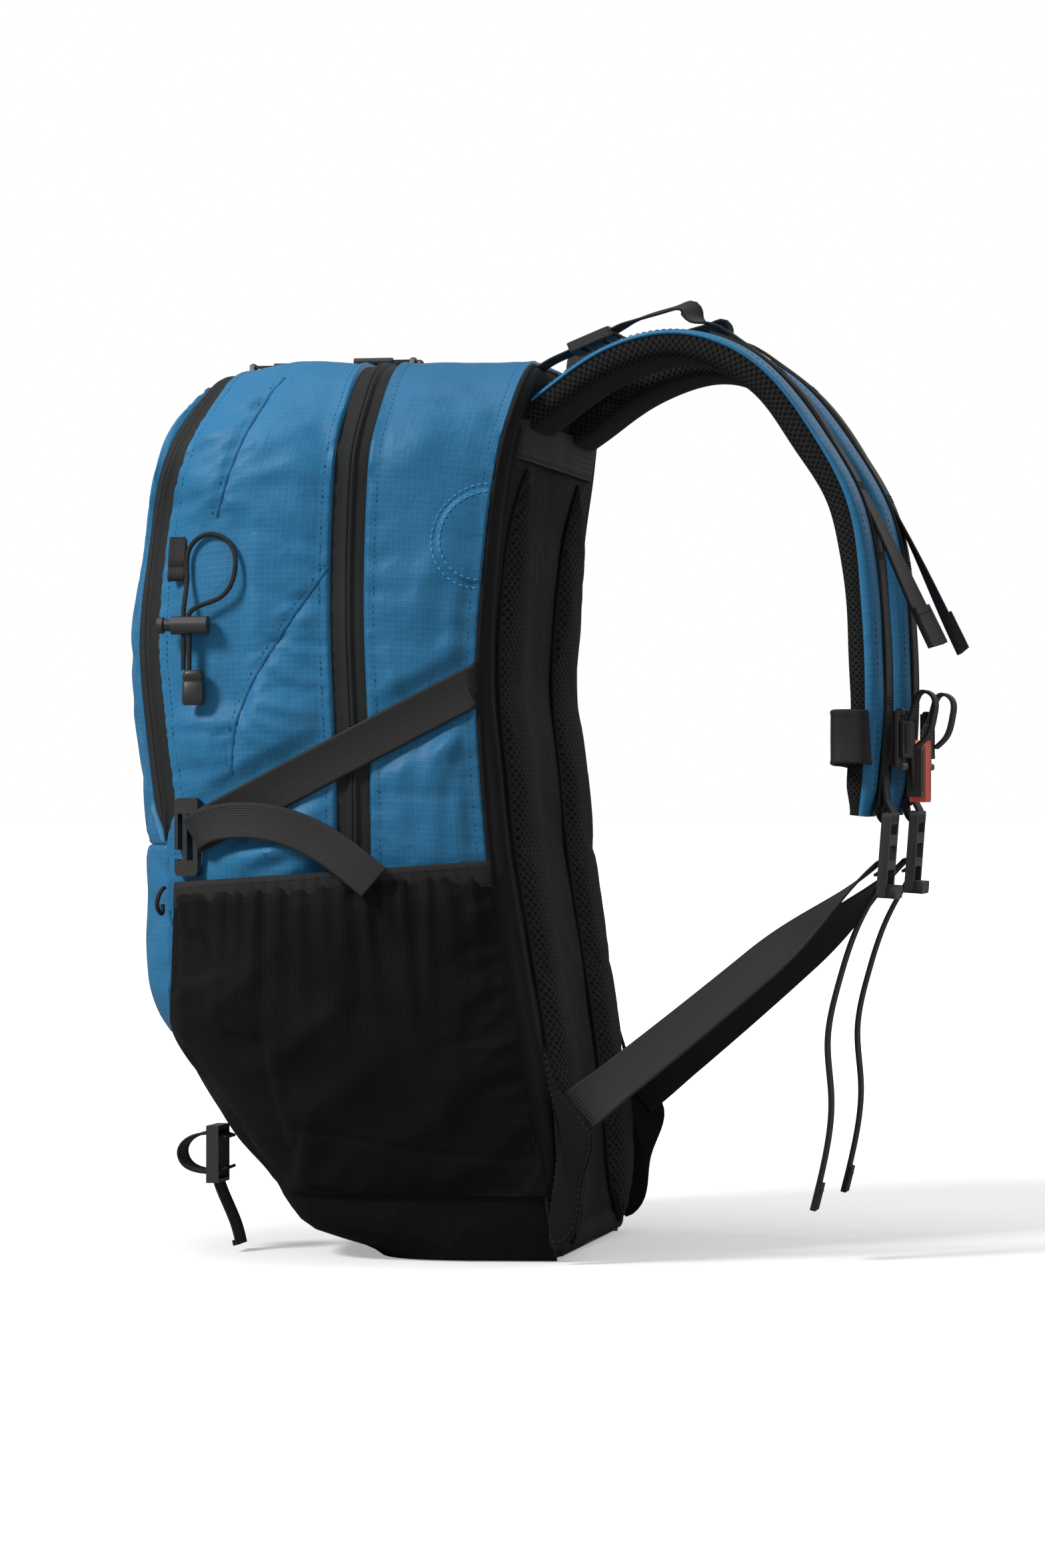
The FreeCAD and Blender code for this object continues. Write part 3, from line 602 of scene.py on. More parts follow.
def webbing_look(name, base, pitch=1.3):
    """Woven webbing: ribs along its length crossed by fine picks."""
    look = Look(name, 0.62, 0.2)
    u, v, _ = look.fabric()
    rib = look.sine(u, pitch)
    pick = look.sine(look.math("MULTIPLY_ADD", rib, 0.35, v), 1.5)
    height = look.math("MULTIPLY_ADD", pick, 0.5, rib)
    tone = look.noise(30.0, 3.0)
    # Rib tops are painted lighter by their height: a painted highlight.
    shine = look.ramp(height, -1.2, 1.4)
    body = look.mix(shine, shade(base, 0.75), shade(base, 1.3))
    look.colour(look.mix(look.math("MULTIPLY", tone, 0.35), body, shade(base, 0.6)))
    look.bump(height, 0.10, 0.5)
    look.sheen(0.03)
    return look.material


def plastic(name, base, rough=0.42, edge_gain=1.5):
    """Moulded plastic with fine grain and sharp edges made lighter."""
    look = Look(name, rough, 0.5)
    grain = look.noise(1400.0, 3.0)
    tone = look.noise(40.0, 2.0)
    geometry = look.tree.nodes.new("ShaderNodeNewGeometry")
    # Sharp convex edges are made lighter in the colour.
    sharp_edge_share = look.ramp(geometry.outputs["Pointiness"], 0.52, 0.62)
    body = look.mix(tone, shade(base, 0.88), shade(base, 1.1))
    look.colour(look.mix(look.math("MULTIPLY", sharp_edge_share, 0.6), body, shade(base, edge_gain)))
    look.roughness(look.math("MULTIPLY_ADD", tone, 0.18, rough - 0.09))
    look.bump(grain, 0.05, 0.35)
    return look.material


def metal(name, base, rough=0.3):
    """Plated casting or wire, lightly scuffed."""
    look = Look(name, rough, 0.5)
    look.shader.inputs["Metallic"].default_value = 0.92
    scuff = look.noise(900.0, 4.0, (1, 6, 1))
    tone = look.noise(60.0, 2.0)
    look.colour(look.mix(tone, shade(base, 0.8), shade(base, 1.15)))
    look.roughness(look.math("MULTIPLY_ADD", scuff, 0.25, rough - 0.1))
    look.bump(scuff, 0.02, 0.4)
    return look.material


def braid(name, base):
    """Braided sheath of an elastic cord."""
    look = Look(name, 0.6, 0.35)
    x, y, z = look.solid()
    rise = look.math("ADD", look.math("ADD", x, y), z)
    fall = look.math("SUBTRACT", look.math("ADD", x, y), z)
    cross = look.math("MULTIPLY", look.sine(rise, 1.2), look.sine(fall, 1.2))
    look.colour(look.mix(look.ramp(cross, -0.7, 0.7), shade(base, 0.5), shade(base, 1.7)))
    look.bump(cross, 0.2, 0.7)
    return look.material


BLUE = (0.027, 0.176, 0.352)
blue_cloth = ripstop("blue_ripstop", BLUE)
# The rear side's blue is the same ripstop made darker: painted shade for the side that faces away from
# the key light.
blue_rear_painted_shade = ripstop("blue_ripstop_rear_painted_shade", shade(BLUE, 0.86))
blue_strap = ripstop("blue_strap_cloth", shade(BLUE, 0.92), grid_mm=3.0)
lining = plain_cloth("lining", (0.02, 0.021, 0.023), pitch=1.4, rough=0.6)
black_cloth = ripstop("black_pack_cloth", (0.0065, 0.0065, 0.0067), grid_mm=4.0, gain=1.9, sheen=0.01,
                      rough=0.72, specular=0.12)
channel_cloth = ripstop("channel_cloth", (0.0085, 0.0085, 0.0087), grid_mm=4.2, gain=2.0, sheen=0.01,
                        rough=0.7, specular=0.12)
smooth_black = plain_cloth("wing_cloth", (0.0085, 0.0085, 0.0088), pitch=1.1, rough=0.7)
binding_cloth = plain_cloth("binding_cloth", (0.0125, 0.0125, 0.0127), pitch=1.3, rough=0.72)
rim_cloth = plain_cloth("rim_cloth", (0.021, 0.021, 0.0215), pitch=1.3, rough=0.66)
pocket_cloth = stretch_cloth("pocket_stretch", (0.0046, 0.0046, 0.0048))
mesh_cloth = spacer_mesh("mesh_fabric", (0.019, 0.019, 0.019), pitch=4.4)
pad_mesh = spacer_mesh("back_pad_mesh", (0.023, 0.023, 0.023), solid=True, pitch=6.0)
webbing_black = webbing_look("webbing_black", (0.023, 0.023, 0.0235))
webbing_grey = webbing_look("webbing_grey", (0.026, 0.026, 0.027), pitch=3.2)
tape = plain_cloth("zip_tape", (0.0205, 0.021, 0.021), pitch=1.6, rough=0.62, depth=0.2)
black_plastic = plastic("black_plastic", (0.020, 0.020, 0.021), edge_gain=2.2)
dark_metal = metal("dark_metal", (0.085, 0.085, 0.082), 0.42)
silver = metal("plated_zinc", (0.55, 0.55, 0.56), 0.25)
spring_steel = metal("spring_steel", (0.5, 0.5, 0.5), 0.2)
orange_plastic = plastic("orange_plastic", (0.88, 0.105, 0.035), 0.38, 1.2)
cord_look = braid("cord_braid", (0.016, 0.016, 0.0165))
rubber_grip = plastic("puller_grip", (0.014, 0.014, 0.0145), 0.6, 1.5)
sheet_look = plastic("frame_sheet_plastic", (0.03, 0.03, 0.031), 0.5, 1.2)
blue_thread = plain_cloth("blue_thread", shade(BLUE, 0.55), pitch=0.5, rough=0.6)
pale_thread = plain_cloth("pale_thread", shade(BLUE, 2.0), pitch=0.5, rough=0.6)
black_thread = plain_cloth("black_thread", (0.03, 0.03, 0.031), pitch=0.5, rough=0.55)


# ---- bag surface ----------------------------------------------------------------------------
def arch(depth_at, low, count):
    """Even points of the curve y = depth_at(z) over the bag, from the right foot to the left."""
    top = HEIGHT
    if depth_at(HEIGHT) < at(FRONT_UPPER, HEIGHT):
        below, above = HEIGHT - 100, HEIGHT
        for _ in range(40):
            top = (below + above) / 2
            if depth_at(top) > at(FRONT_UPPER, top):
                below = top
            else:
                above = top
        top = below
    z = top - (top - low) * np.linspace(1, 0, 1500) ** 4
    y = depth_at(z)
    points = np.stack([side_x(y, z), y, z], 1)
    if top == HEIGHT:
        flat = np.linspace(points[-1, 0], 0, 60)[1:, None]
        points = np.vstack([points, np.hstack([flat, np.full_like(flat, y[-1]),
                                               np.full_like(flat, HEIGHT)])])
    points[-1, 0] = 0
    half = resample(points, count)
    return np.vstack([half, half[-2::-1] * (-1, 1, 1)])


def edge_spacing(width, step):
    """Shares from 0 to 1 across a panel, closer together beside its two edges."""
    ends = (0.0, 0.7, 1.6, 3.0)
    count = max(int(round((width - 2 * ends[-1]) / step)), 2)
    middle = np.linspace(ends[-1], width - ends[-1], count + 1)
    low = list(ends[:-1])
    return np.array(low + list(middle) + [width - d for d in reversed(low)]) / width


def panel(front, rear, low, shares, columns):
    """Grid of the bag's surface between two curves of depth over height."""
    rows = [arch(lambda z, s=s: (1 - s) * front(z) + s * rear(z), low, columns) for s in shares]
    return np.stack(rows)


def lip(grid, rise=0.9, tuck=1.5):
    """Rolls the long edges of a panel over, beside a zip or seam. Returns the height to add."""
    across = np.linalg.norm(np.diff(grid, axis=0), axis=2)
    run = np.concatenate([np.zeros((1, grid.shape[1])), np.cumsum(across, axis=0)])
    near = np.minimum(run, run[-1] - run)
    return rise * np.exp(-((near - 2.2) / 1.8) ** 2) - tuck * np.exp(-(near / 0.8) ** 2), near


STRAP_FROM = np.array((84.0, 311.0))
STRAP_TO = np.array((-66.0, 233.5))


def under_strap(y, z):
    """1 where the compression strap presses on the cloth, falling to 0 beside it."""
    along = STRAP_TO - STRAP_FROM
    s = np.clip(((y - STRAP_FROM[0]) * along[0] + (z - STRAP_FROM[1]) * along[1]) / (along @ along), 0, 1)
    far = np.hypot(y - STRAP_FROM[0] - s * along[0], z - STRAP_FROM[1] - s * along[1])
    return smooth((22 - far) / 10)


def under_cord(y, z, x):
    """1 on the right side where the cord and its lock lie on the cloth."""
    return smooth(x / 30) * smooth((y + 96) / 10) * smooth((-36 - y) / 10) * smooth((z - 288) / 14) \
        * smooth((408 - z) / 14)


DART = ((-30, 477), (-43, 448), (-50, 431), (-56, 413), (-60, 400))
DIAGONAL = ((2, 373), (-16, 348), (-31, 325), (-42, 306), (-49, 284), (-51, 262))
FRONT_FOLDS = (
    (-78, 462, -22, 470, 5, 1.5), (-84, 440, -34, 454, 5, 1.3), (-50, 436, -4, 452, 6, 1.4),
    (-54, 420, -12, 430, 4, 1.0), (-92, 418, -60, 420, 6, 1.0), (-22, 352, 4, 338, 3.5, 1.5),
    (-30, 338, 2, 322, 3.5, 1.6), (-36, 326, 0, 306, 4, 1.9), (-42, 312, -6, 292, 4, 1.8),
    (-46, 300, -18, 284, 3.5, 1.5), (-60, 345, -72, 262, 6, 2.2), (-76, 330, -84, 262, 5, 1.8),
    (-58, 300, -62, 256, 4, 1.6), (-60, 222, 0, 226, 6, 2.2), (-54, 210, -8, 238, 5, 2.0),
    (-40, 204, 4, 226, 4, 1.4), (-86, 296, -88, 246, 4, 1.4), (-70, 400, -74, 352, 7, -1.2),
    (-34, 331, -14, 316, 2.2, 1.3), (-39, 318, -16, 303, 2.2, 1.3), (-44, 304, -20, 296, 2.2, 1.2),
    (-26, 345, -8, 331, 2.2, 1.1), (-47, 290, -24, 276, 2.4, 1.2), (-56, 330, -66, 280, 3, 1.5))
REAR_FOLDS = (
    (72, 300, 60, 214, 6, 2.6), (80, 292, 74, 216, 4, 2.0), (50, 284, 42, 222, 6, 1.6),
    (76, 372, 70, 318, 5, 1.8), (62, 388, 52, 330, 7, 1.5), (84, 356, 80, 322, 3.5, 1.2),
    (34, 470, 72, 466, 7, 1.4), (40, 420, 58, 458, 9, 1.3), (30, 250, 38, 214, 5, 1.2),
    (90, 440, 60, 474, 6, 1.2), (82, 306, 66, 262, 3, 1.8), (70, 292, 50, 236, 3, 1.5),
    (58, 290, 40, 240, 3, -1.2), (84, 330, 62, 330, 4, 1.0), (30, 330, 44, 300, 4, 1.3))


def cloth_height(grid, folds, seed, seams):
    """Height of wrinkles, seams and unevenness over a panel of the bag."""
    x, y, z = grid[..., 0], grid[..., 1], grid[..., 2]
    side = np.where(x >= 0, 0.0, 23.0)
    bumps = ripple(y + side, z + side * 3, seed, 90.0, 0.9)
    bumps = bumps + ripple(y - side, z, seed + 50, 34.0, 0.30)
    on_side = smooth((np.abs(x) - 40) / 40)
    for index, fold in enumerate(folds):
        y0, z0, y1, z1, wide, tall = fold
        drift = 2.5 * math.sin(2.7 * index + 1)
        mirrored_fold = (y0 + drift, z0 - drift, y1 + drift, z1, wide * 1.1, tall * 0.9)
        bumps = bumps + 1.35 * on_side * np.where(x >= 0, ridge(y, z, fold), ridge(y, z, mirrored_fold))
    for seam in seams:
        near, deep = groove(y, z, seam, 3.2, 1.7)
        run = z * 0.9 - y * 0.5
        pucker = 0.6 * np.sin(run * 2 * math.pi / 7.5) * np.exp(-((near - 4.5) / 4.0) ** 2)
        bumps = bumps + on_side * (deep + pucker)
    return bumps


def finish_panel(grid, folds, seed, swell, cap, seams=()):
    """Settles a panel by cloth simulation, then adds seams, folds and rolled edges."""
    n = normals(grid)
    settled = settle_sheet(grid, 3.0, swell, cap, 1.5)
    press = 1 - under_strap(grid[..., 1], grid[..., 2]) * smooth((np.abs(grid[..., 0]) - 60) / 30)
    press = press * (1 - 0.8 * under_cord(grid[..., 1], grid[..., 2], grid[..., 0]))
    rolled, near = lip(grid)
    inside = smooth((near - 3) / 14)
    calm = 1 - 0.75 * smooth((grid[..., 2] - 436) / 36)
    height = cloth_height(grid, folds, seed, seams) * inside + 1.5 * inside * calm
    settled = grid + (settled - grid) * (press * calm)[..., None]
    return settled + n * (height * press + rolled)[..., None]


def lead(z):
    """Half width of the front zip, narrowing to nothing at its foot."""
    return ZIP_HALF * smooth((np.asarray(z, float) - 222) / 26)


def front_zip_at(z):
    return at(FRONT_ZIP, z)


def main_zip_at(z):
    return at(MAIN_ZIP, z)


COLUMNS = 176

front_side = panel(lambda z: front_zip_at(z) + lead(z), lambda z: main_zip_at(z) - ZIP_HALF,
                   SEWN_Z, edge_spacing(104, 3.2), COLUMNS)
front_side = finish_panel(front_side, FRONT_FOLDS, 3, 0.02, 5.0, (DART, DIAGONAL))
rear_side = panel(lambda z: main_zip_at(z) + ZIP_HALF, lambda z: at(REAR_SEAM, z),
                  SEWN_Z, edge_spacing(70, 3.2), COLUMNS)
rear_side = finish_panel(rear_side, REAR_FOLDS, 11, 0.012, 2.6)


def make_panel(name, grid, node, material):
    cloth = Cloth()
    thick(cloth, grid, 1.2)
    return cloth.piece(name, (material, lining), slot="blue_ripstop", nodes=(node,))


def bend_cover(obj):
    """Cloth that is sewn to the base; only its transform is baked into its mesh."""
    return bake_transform(obj)


def bend_flap(obj):
    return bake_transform(obj)


bend_cover(make_panel("front_side_cloth", front_side, "front_shell", blue_cloth))
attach(make_panel("rear_side_cloth", rear_side, "rear_shell", blue_rear_painted_shade), "pack")


# ---- front pocket and skirt -----------------------------------------------------------------
def front_grid(heights, edge_at, shares):
    """Grid round the front of the bag: rows up, columns from the right edge to the left."""
    z = np.asarray(heights, float)[:, None]
    edge = side_x(edge_at(z), z)
    x = edge * (1 - 2 * np.asarray(shares)[None, :])
    w = half_width(z)
    depth = at(CORNER_DEPTH, z)
    middle = at(FRONT_UPPER, z) + depth
    y = middle - depth * (1 - np.clip(np.abs(x) / w, 0, 1) ** SQUARENESS) ** (1 / SQUARENESS)
    return sheet(x, y, z)


def top_of(edge_at, reach):
    """Greatest height where a curve of depth is still this far from the middle."""
    z = np.linspace(HEIGHT - 40, HEIGHT, 4000)
    wide = np.where(edge_at(z) > at(FRONT_UPPER, z), side_x(edge_at(z), z), 0)
    return z[np.nonzero(wide > reach)[0][-1]]


def pocket_edge_at(z):
    return front_zip_at(z) - lead(z)


def front_height(grid, seed):
    x, z = grid[..., 0], grid[..., 2]
    bumps = ripple(x, z, seed, 85.0, 1.1 * 0.8) + ripple(x, z, seed + 9, 36.0, 0.4 * 0.8)
    for k in range(6):
        fold = (-70 + 26 * k, 236 + 9 * (k % 3), -58 + 24 * k, 292 + 14 * (k % 2), 6, 1.3)
        bumps = bumps + ridge(x, z, fold)
    return bumps


shares = edge_spacing(230, 3.6)
pocket_top = top_of(pocket_edge_at, 4.0)
rise = np.linspace(0, 1, 84)
heights = pocket_top - (pocket_top - FLAP_SEAM_Z) * (1 - rise) ** 1.25
heights = np.concatenate([[FLAP_SEAM_Z, FLAP_SEAM_Z + 0.8, FLAP_SEAM_Z + 1.8], heights[2:]])
pocket_front = front_grid(heights, pocket_edge_at, shares)
n = normals(pocket_front)
pocket_settled = settle_sheet(pocket_front, 2.0, 0.015, 1.6, 1.0)
across, near = lip(np.swapaxes(pocket_front, 0, 1))
rolled, near = across.T, near.T
low = np.minimum((pocket_front[..., 2] - FLAP_SEAM_Z), 20)
inside = smooth((near - 3) / 16) * smooth(low / 8)
height = (front_height(pocket_front, 21) + 0.4) * inside + rolled - 1.2 * np.exp(-(low / 1.2) ** 2)
pocket_front = pocket_settled + n * height[..., None]
bend_flap(make_panel("front_pocket_cloth", pocket_front, "front_pocket_panel", blue_cloth))

heights = [SEWN_Z, SEWN_Z + 0.8, SEWN_Z + 2] + list(np.linspace(SEWN_Z + 4, FLAP_SEAM_Z - 4, 28))
heights += [FLAP_SEAM_Z - 2, FLAP_SEAM_Z - 0.8, FLAP_SEAM_Z]
skirt = front_grid(heights, front_zip_at, shares)
n = normals(skirt)
edge = np.minimum(skirt[..., 2] - SEWN_Z, FLAP_SEAM_Z - skirt[..., 2])
rolled, near = lip(np.swapaxes(skirt, 0, 1), 0.7, 1.1)
inside = smooth(near.T / 12) * smooth(edge / 9)
height = (front_height(skirt, 33) + 0.5) * inside + rolled.T - 1.3 * np.exp(-(edge / 1.0) ** 2)
skirt = settle_sheet(skirt, 2.5, 0.02, 2.0, 1.0) + n * height[..., None]
hem = np.stack([skirt[0] + (0, 5, -1.0), skirt[0] + (0, 2, -1.4)])
hem[..., 0] *= 0.97
skirt = np.concatenate([hem, skirt])
bend_cover(make_panel("front_skirt_cloth", skirt, "lower_front_panel", blue_cloth))


# ---- zips -----------------------------------------------------------------------------------
def tape_half(name, node, centre, lead_at, side, low):
    """Half of a zip: flat tape under the panel's edge and half of the covered coil."""
    cloth = Cloth()
    shares = np.array((1.12, 0.95, 0.75, 0.5, 0.34, 0.28, 0.2, 0.1, 0.02))
    rises = np.array((-1.6, -1.3, -1.1, -1.0, -0.9, 0.1, 0.75, 0.95, 0.6))
    if side > 0:
        shares, rises = shares[::-1], rises[::-1]
    rows = [arch(lambda z, s=s: centre(z) + side * s * lead_at(z), low, COLUMNS) for s in shares]
    grid = np.stack(rows)
    grid = grid + normals(grid) * rises[:, None, None]
    thick(cloth, grid, 0.8, 0, 0)
    return cloth.piece(name, (tape,), sharp=70, slot="zip_tape", nodes=(node,))


def full_lead(z):
    return np.full(np.shape(z), ZIP_HALF)


bend_cover(tape_half("main_zip_tape_front", "main_zip_front", main_zip_at, full_lead, -1, SEWN_Z))
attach(tape_half("main_zip_tape_rear", "main_zip_rear", main_zip_at, full_lead, 1, SEWN_Z), "pack")
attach(tape_half("front_zip_tape_inner", "front_zip_inner", front_zip_at, lead, 1, 226), "cover")
bend_flap(tape_half("front_zip_tape_outer", "front_zip_outer", front_zip_at, lead, -1, 226))


# ---- base -----------------------------------------------------------------------------------
def base_ring(z, count):
    """Outline of the base at one height: right rear, round the front, to left rear."""
    w = float(half_width(z))
    f = float(at(FRONT_BASE, z))
    middle = f + float(at(CORNER_DEPTH, z))
    rear_y = float(at(REAR_SEAM, z))
    rear_x = w - REAR_TAPER * (rear_y - middle) / (REAR_REACH - middle)
    angle = np.linspace(0, math.pi, 220)
    x = w * np.sign(np.cos(angle)) * np.abs(np.cos(angle)) ** (2 / SQUARENESS)
    y = middle - (middle - f) * np.sin(angle) ** (2 / SQUARENESS)
    ring = np.vstack([[rear_x, rear_y], np.stack([x, y], 1), [-rear_x, rear_y]])
    ring = resample(ring, count)
    return np.hstack([ring, np.full((count, 1), z)])


levels = [0.2, 1.0, 3, 6, 10, 15, 20, 26] + list(np.linspace(32, 114, 26)) + [117, 118.5, 119.5]
base = np.stack([base_ring(z, 260) for z in levels])
centre = np.array((0.0, 65.0, 0.4))
floor_rows = np.stack([centre + (base[0] - centre) * (s, s, 0) for s in (0.05, 0.4, 0.75, 0.93)])
base = np.concatenate([floor_rows, base])
n = normals(base)
z = base[..., 2]
y = base[..., 1]
base_bumps = ripple(y + np.where(base[..., 0] > 0, 0, 31), z, 41, 60.0, 1.1) + 0.8
base_bumps = base_bumps * smooth((z - 4) / 14) * smooth((119 - z) / 8)
base_bumps = base_bumps - 1.5 * np.exp(-((z - 37) / 1.6) ** 2)
at_loop = smooth((base[..., 0] - 36) / 10) * smooth((86 - base[..., 0]) / 10) * smooth((-40 - y) / 8)
base_bumps = base_bumps - 2.6 * at_loop * smooth((z - 22) / 12) * smooth((84 - z) / 12)
base_bumps[:4] = 0
base_cloth = Cloth()
thick(base_cloth, base + n * base_bumps[..., None], 1.2)
base_cloth.piece("base_cloth", (black_cloth, lining), slot="black_fabric", nodes=("base_panel",),
                 body="pack")


# ---- dropping things onto the bag -----------------------------------------------------------
def tree_of(*grids):
    points, faces, start = [], [], 0
    for grid in grids:
        points.append(grid.reshape(-1, 3))
        faces.append(quads(*grid.shape[:2]) + start)
        start += points[-1].shape[0]
    return BVHTree.FromPolygons([tuple(p) for p in np.vstack(points)],
                                [tuple(int(v) for v in f) for f in np.vstack(faces)])


bag_tree = tree_of(front_side, rear_side, base, pocket_front, skirt)


def on_bag(y, z, side, lift=0.0):
    """Point on the bag's side at depth y and height z, and its outward normal."""
    hit, normal, _, _ = bag_tree.ray_cast(Vector((side * 300.0, y, z)), Vector((-side, 0, 0)))
    if hit is None:
        x = float(side_x(y, z)) * side
        return np.array((x + side * lift, y, z)), np.array((side, 0.0, 0.0))
    normal = np.array(normal)
    if normal[0] * side < 0:
        normal = -normal
    return np.array(hit) + normal * lift, normal


def line_on_bag(points, side, lift, count):
    path = curve(points, count)
    both = [on_bag(y, z, side, lift) for y, z in path]
    return np.array([p for p, _ in both]), np.array([q for _, q in both])


def seam_threads():
    """Dark seam lines and their topstitching on the sides."""
    seams = Cloth()
    for side, _ in SIDES:
        for line in (DART, DIAGONAL):
            path, out = line_on_bag(line, side, -0.05, 60)
            sweep(seams, path, np.cross(unit(np.gradient(path, axis=0)), out), oval(1.9, 1.1, 8))
            beside = path + unit(np.cross(unit(np.gradient(path, axis=0)), out)) * 3.0
            stitches(seams, beside, out, 1.9, 1.5, 0.2, 0, 0.25)
    return seams.piece("seam_threads", (blue_thread,))


bend_cover(seam_threads())


def row_stitches(name, grid):
    """Topstitching beside both long edges of a panel."""
    cloth = Cloth()
    n = normals(grid)
    for row in (4, -5):
        stitches(cloth, grid[row][::2], n[row][::2], 2.0, 1.3, 0.22, 0, 0.05)
    return cloth.piece(name, (blue_thread,))


bend_cover(row_stitches("front_side_topstitch", front_side))
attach(row_stitches("rear_side_topstitch", rear_side), "pack")


# ---- hydration port patch -------------------------------------------------------------------
def make_port_patch():
    cloth = Cloth()
    angles = np.linspace(-math.pi / 2, math.pi / 2, 34)
    rings = (0.02, 0.3, 0.55, 0.75, 0.88, 0.95, 1.0)
    rises = (0.8, 1.1, 1.2, 1.1, 1.0, 0.75, -0.4)
    rows = []
    for ring, rise in zip(rings, rises):
        row = []
        for a in angles:
            z = 389 + 26 * ring * math.sin(a)
            y = float(at(REAR_SEAM, z)) - 2.0 - 25 * ring * math.cos(a)
            row.append(on_bag(y, z, RIGHT, rise)[0])
        rows.append(row)
    grid = np.array(rows)
    cloth.add(grid.reshape(-1, 3), quads(len(rings), len(angles)))
    cloth.piece("hydration_port_cloth", (blue_rear_painted_shade, blue_thread), slot="blue_ripstop",
                nodes=("hydration_port_patch",), body="pack")
    thread = Cloth()
    for ring in (0.9, 1.07):
        line = [(float(at(REAR_SEAM, 389 + 26 * ring * math.sin(a))) - 2.0 - 25 * ring * math.cos(a),
                 389 + 26 * ring * math.sin(a)) for a in angles]
        points = [on_bag(y, z, RIGHT, 1.15 if ring < 1 else 0.1) for y, z in line]
        stitches(thread, [p for p, _ in points], [q for _, q in points], 2.2, 1.4, 0.28)
    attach(thread.piece("hydration_port_stitching", (pale_thread,)), "pack")


make_port_patch()


# ---- side pockets ---------------------------------------------------------------------------
def rim_z(y):
    """Height of the pocket's elastic rim."""
    return 203 + 15 * (y + 100) / 210


def pocket_point(z, share, stand):
    """Point on a side pocket's outer surface; share 0 is its front edge and 1 its rear."""
    y0 = at(POCKET_FRONT_EDGE, z)
    y = y0 + (at(REAR_SEAM, z) + 1.5 - y0) * share
    bulge = 11.0 * np.sin(np.clip((z - 36) / 110, 0, 1) * math.pi / 2)
    base_x = np.where(z >= SEWN_Z, side_x(y, z), side_x(y, z, FRONT_BASE))
    return np.stack([base_x + stand + bulge * np.sin(math.pi * share) ** 0.6, y, z], -1)


def mirror(grid):
    return (grid * (-1, 1, 1))[:, ::-1]


def pocket_grid():
    """The pocket's cloth before it is gathered: points, height, share and drop below the rim."""
    share = np.linspace(1, 0, 96)[None, :]
    top = rim_z(-86 + 174 * share) - 7
    z = 36 + (top - 36) * np.linspace(0, 1, 76)[:, None]
    z, share = np.broadcast_arrays(z, share)
    return pocket_point(z, share, 2.6), z, share, top - z


pocket_start = pocket_grid()
settled_pocket = settle_sheet(pocket_start[0], 2.0, 0.03, 4.0, 1.0)
POCKET_FOLDS = ((-60, 96, 20, 150, 7, 2.2), (-40, 70, 40, 120, 8, 1.8), (-70, 130, -20, 176, 6, 1.5),
                (10, 60, 78, 92, 8, 1.6), (60, 70, 70, 150, 7, 1.4), (-10, 150, 60, 130, 9, -1.2))


def make_side_pocket(side, name):
    grid, z, share, drop = pocket_start
    rng = np.random.default_rng(70 + side)
    gathers = np.zeros(z.shape)
    for k in range(15):
        middle = 0.05 + 0.063 * k + rng.uniform(-0.012, 0.012)
        lean = rng.uniform(-0.05, 0.05)
        reach = rng.uniform(45, 105)
        wide = rng.uniform(0.013, 0.022)
        tall = rng.uniform(1.7, 3.2)
        off = (share - middle - lean * drop / 100) / (wide * (1 + drop / 90))
        gathers += tall * np.exp(-off ** 2) * np.exp(-(drop / reach) ** 2)
    gathers += ripple(grid[..., 1], grid[..., 2], 77 + side, 48, 0.9)
    for fold in POCKET_FOLDS:
        gathers += ridge(grid[..., 1], grid[..., 2], fold)
    edge = smooth(np.minimum(share, 1 - share) * 170 / 9) * smooth((z - 37) / 12)
    seam = np.exp(-((z - 66 - 9 * np.cos(share * math.pi)) / 1.6) ** 2)
    shaped = settled_pocket + normals(grid) * (gathers * edge)[..., None]
    shaped = shaped - normals(grid) * (0.9 * seam * edge)[..., None]
    shaped = shaped if side == RIGHT else mirror(shaped)
    cloth = Cloth()
    thick(cloth, shaped, 0.9)
    nodes = ("side_pockets",) if side == RIGHT else ()
    cloth.piece("side_pocket_cloth_" + name, (pocket_cloth, lining), 50, "black_stretch", nodes, "pack")

    share = np.linspace(1, 0, 120)
    y_line = -86 + 174 * share
    rows = []
    for low_by, stand in ((14.5, 2.9), (13.4, 4.1), (11, 4.5), (7, 4.7), (3, 4.6), (0.8, 4.2),
                          (0, 3.0), (1.0, 1.9), (4, 1.6)):
        z = rim_z(y_line) - low_by
        p = pocket_point(z, share, stand - 0.4)
        p[:, 0] += 0.35 * np.sin(share * 150) * min(low_by / 6, 1) * np.sin(np.pi * share) ** 0.5
        rows.append(p)
    rim = np.stack(rows)
    rim = rim if side == RIGHT else mirror(rim)
    binding = Cloth()
    thick(binding, rim, 0.5, 0, 0)
    for line in (1, 4):
        stitches(binding, rim[line][::2], normals(rim)[line][::2], 2.4, 1.2, 0.22, 1)
    binding.piece("side_pocket_binding_" + name, (rim_cloth, black_thread), 60, slot="black_stretch",
                  body="pack")


for side, name in SIDES:
    make_side_pocket(side, name)


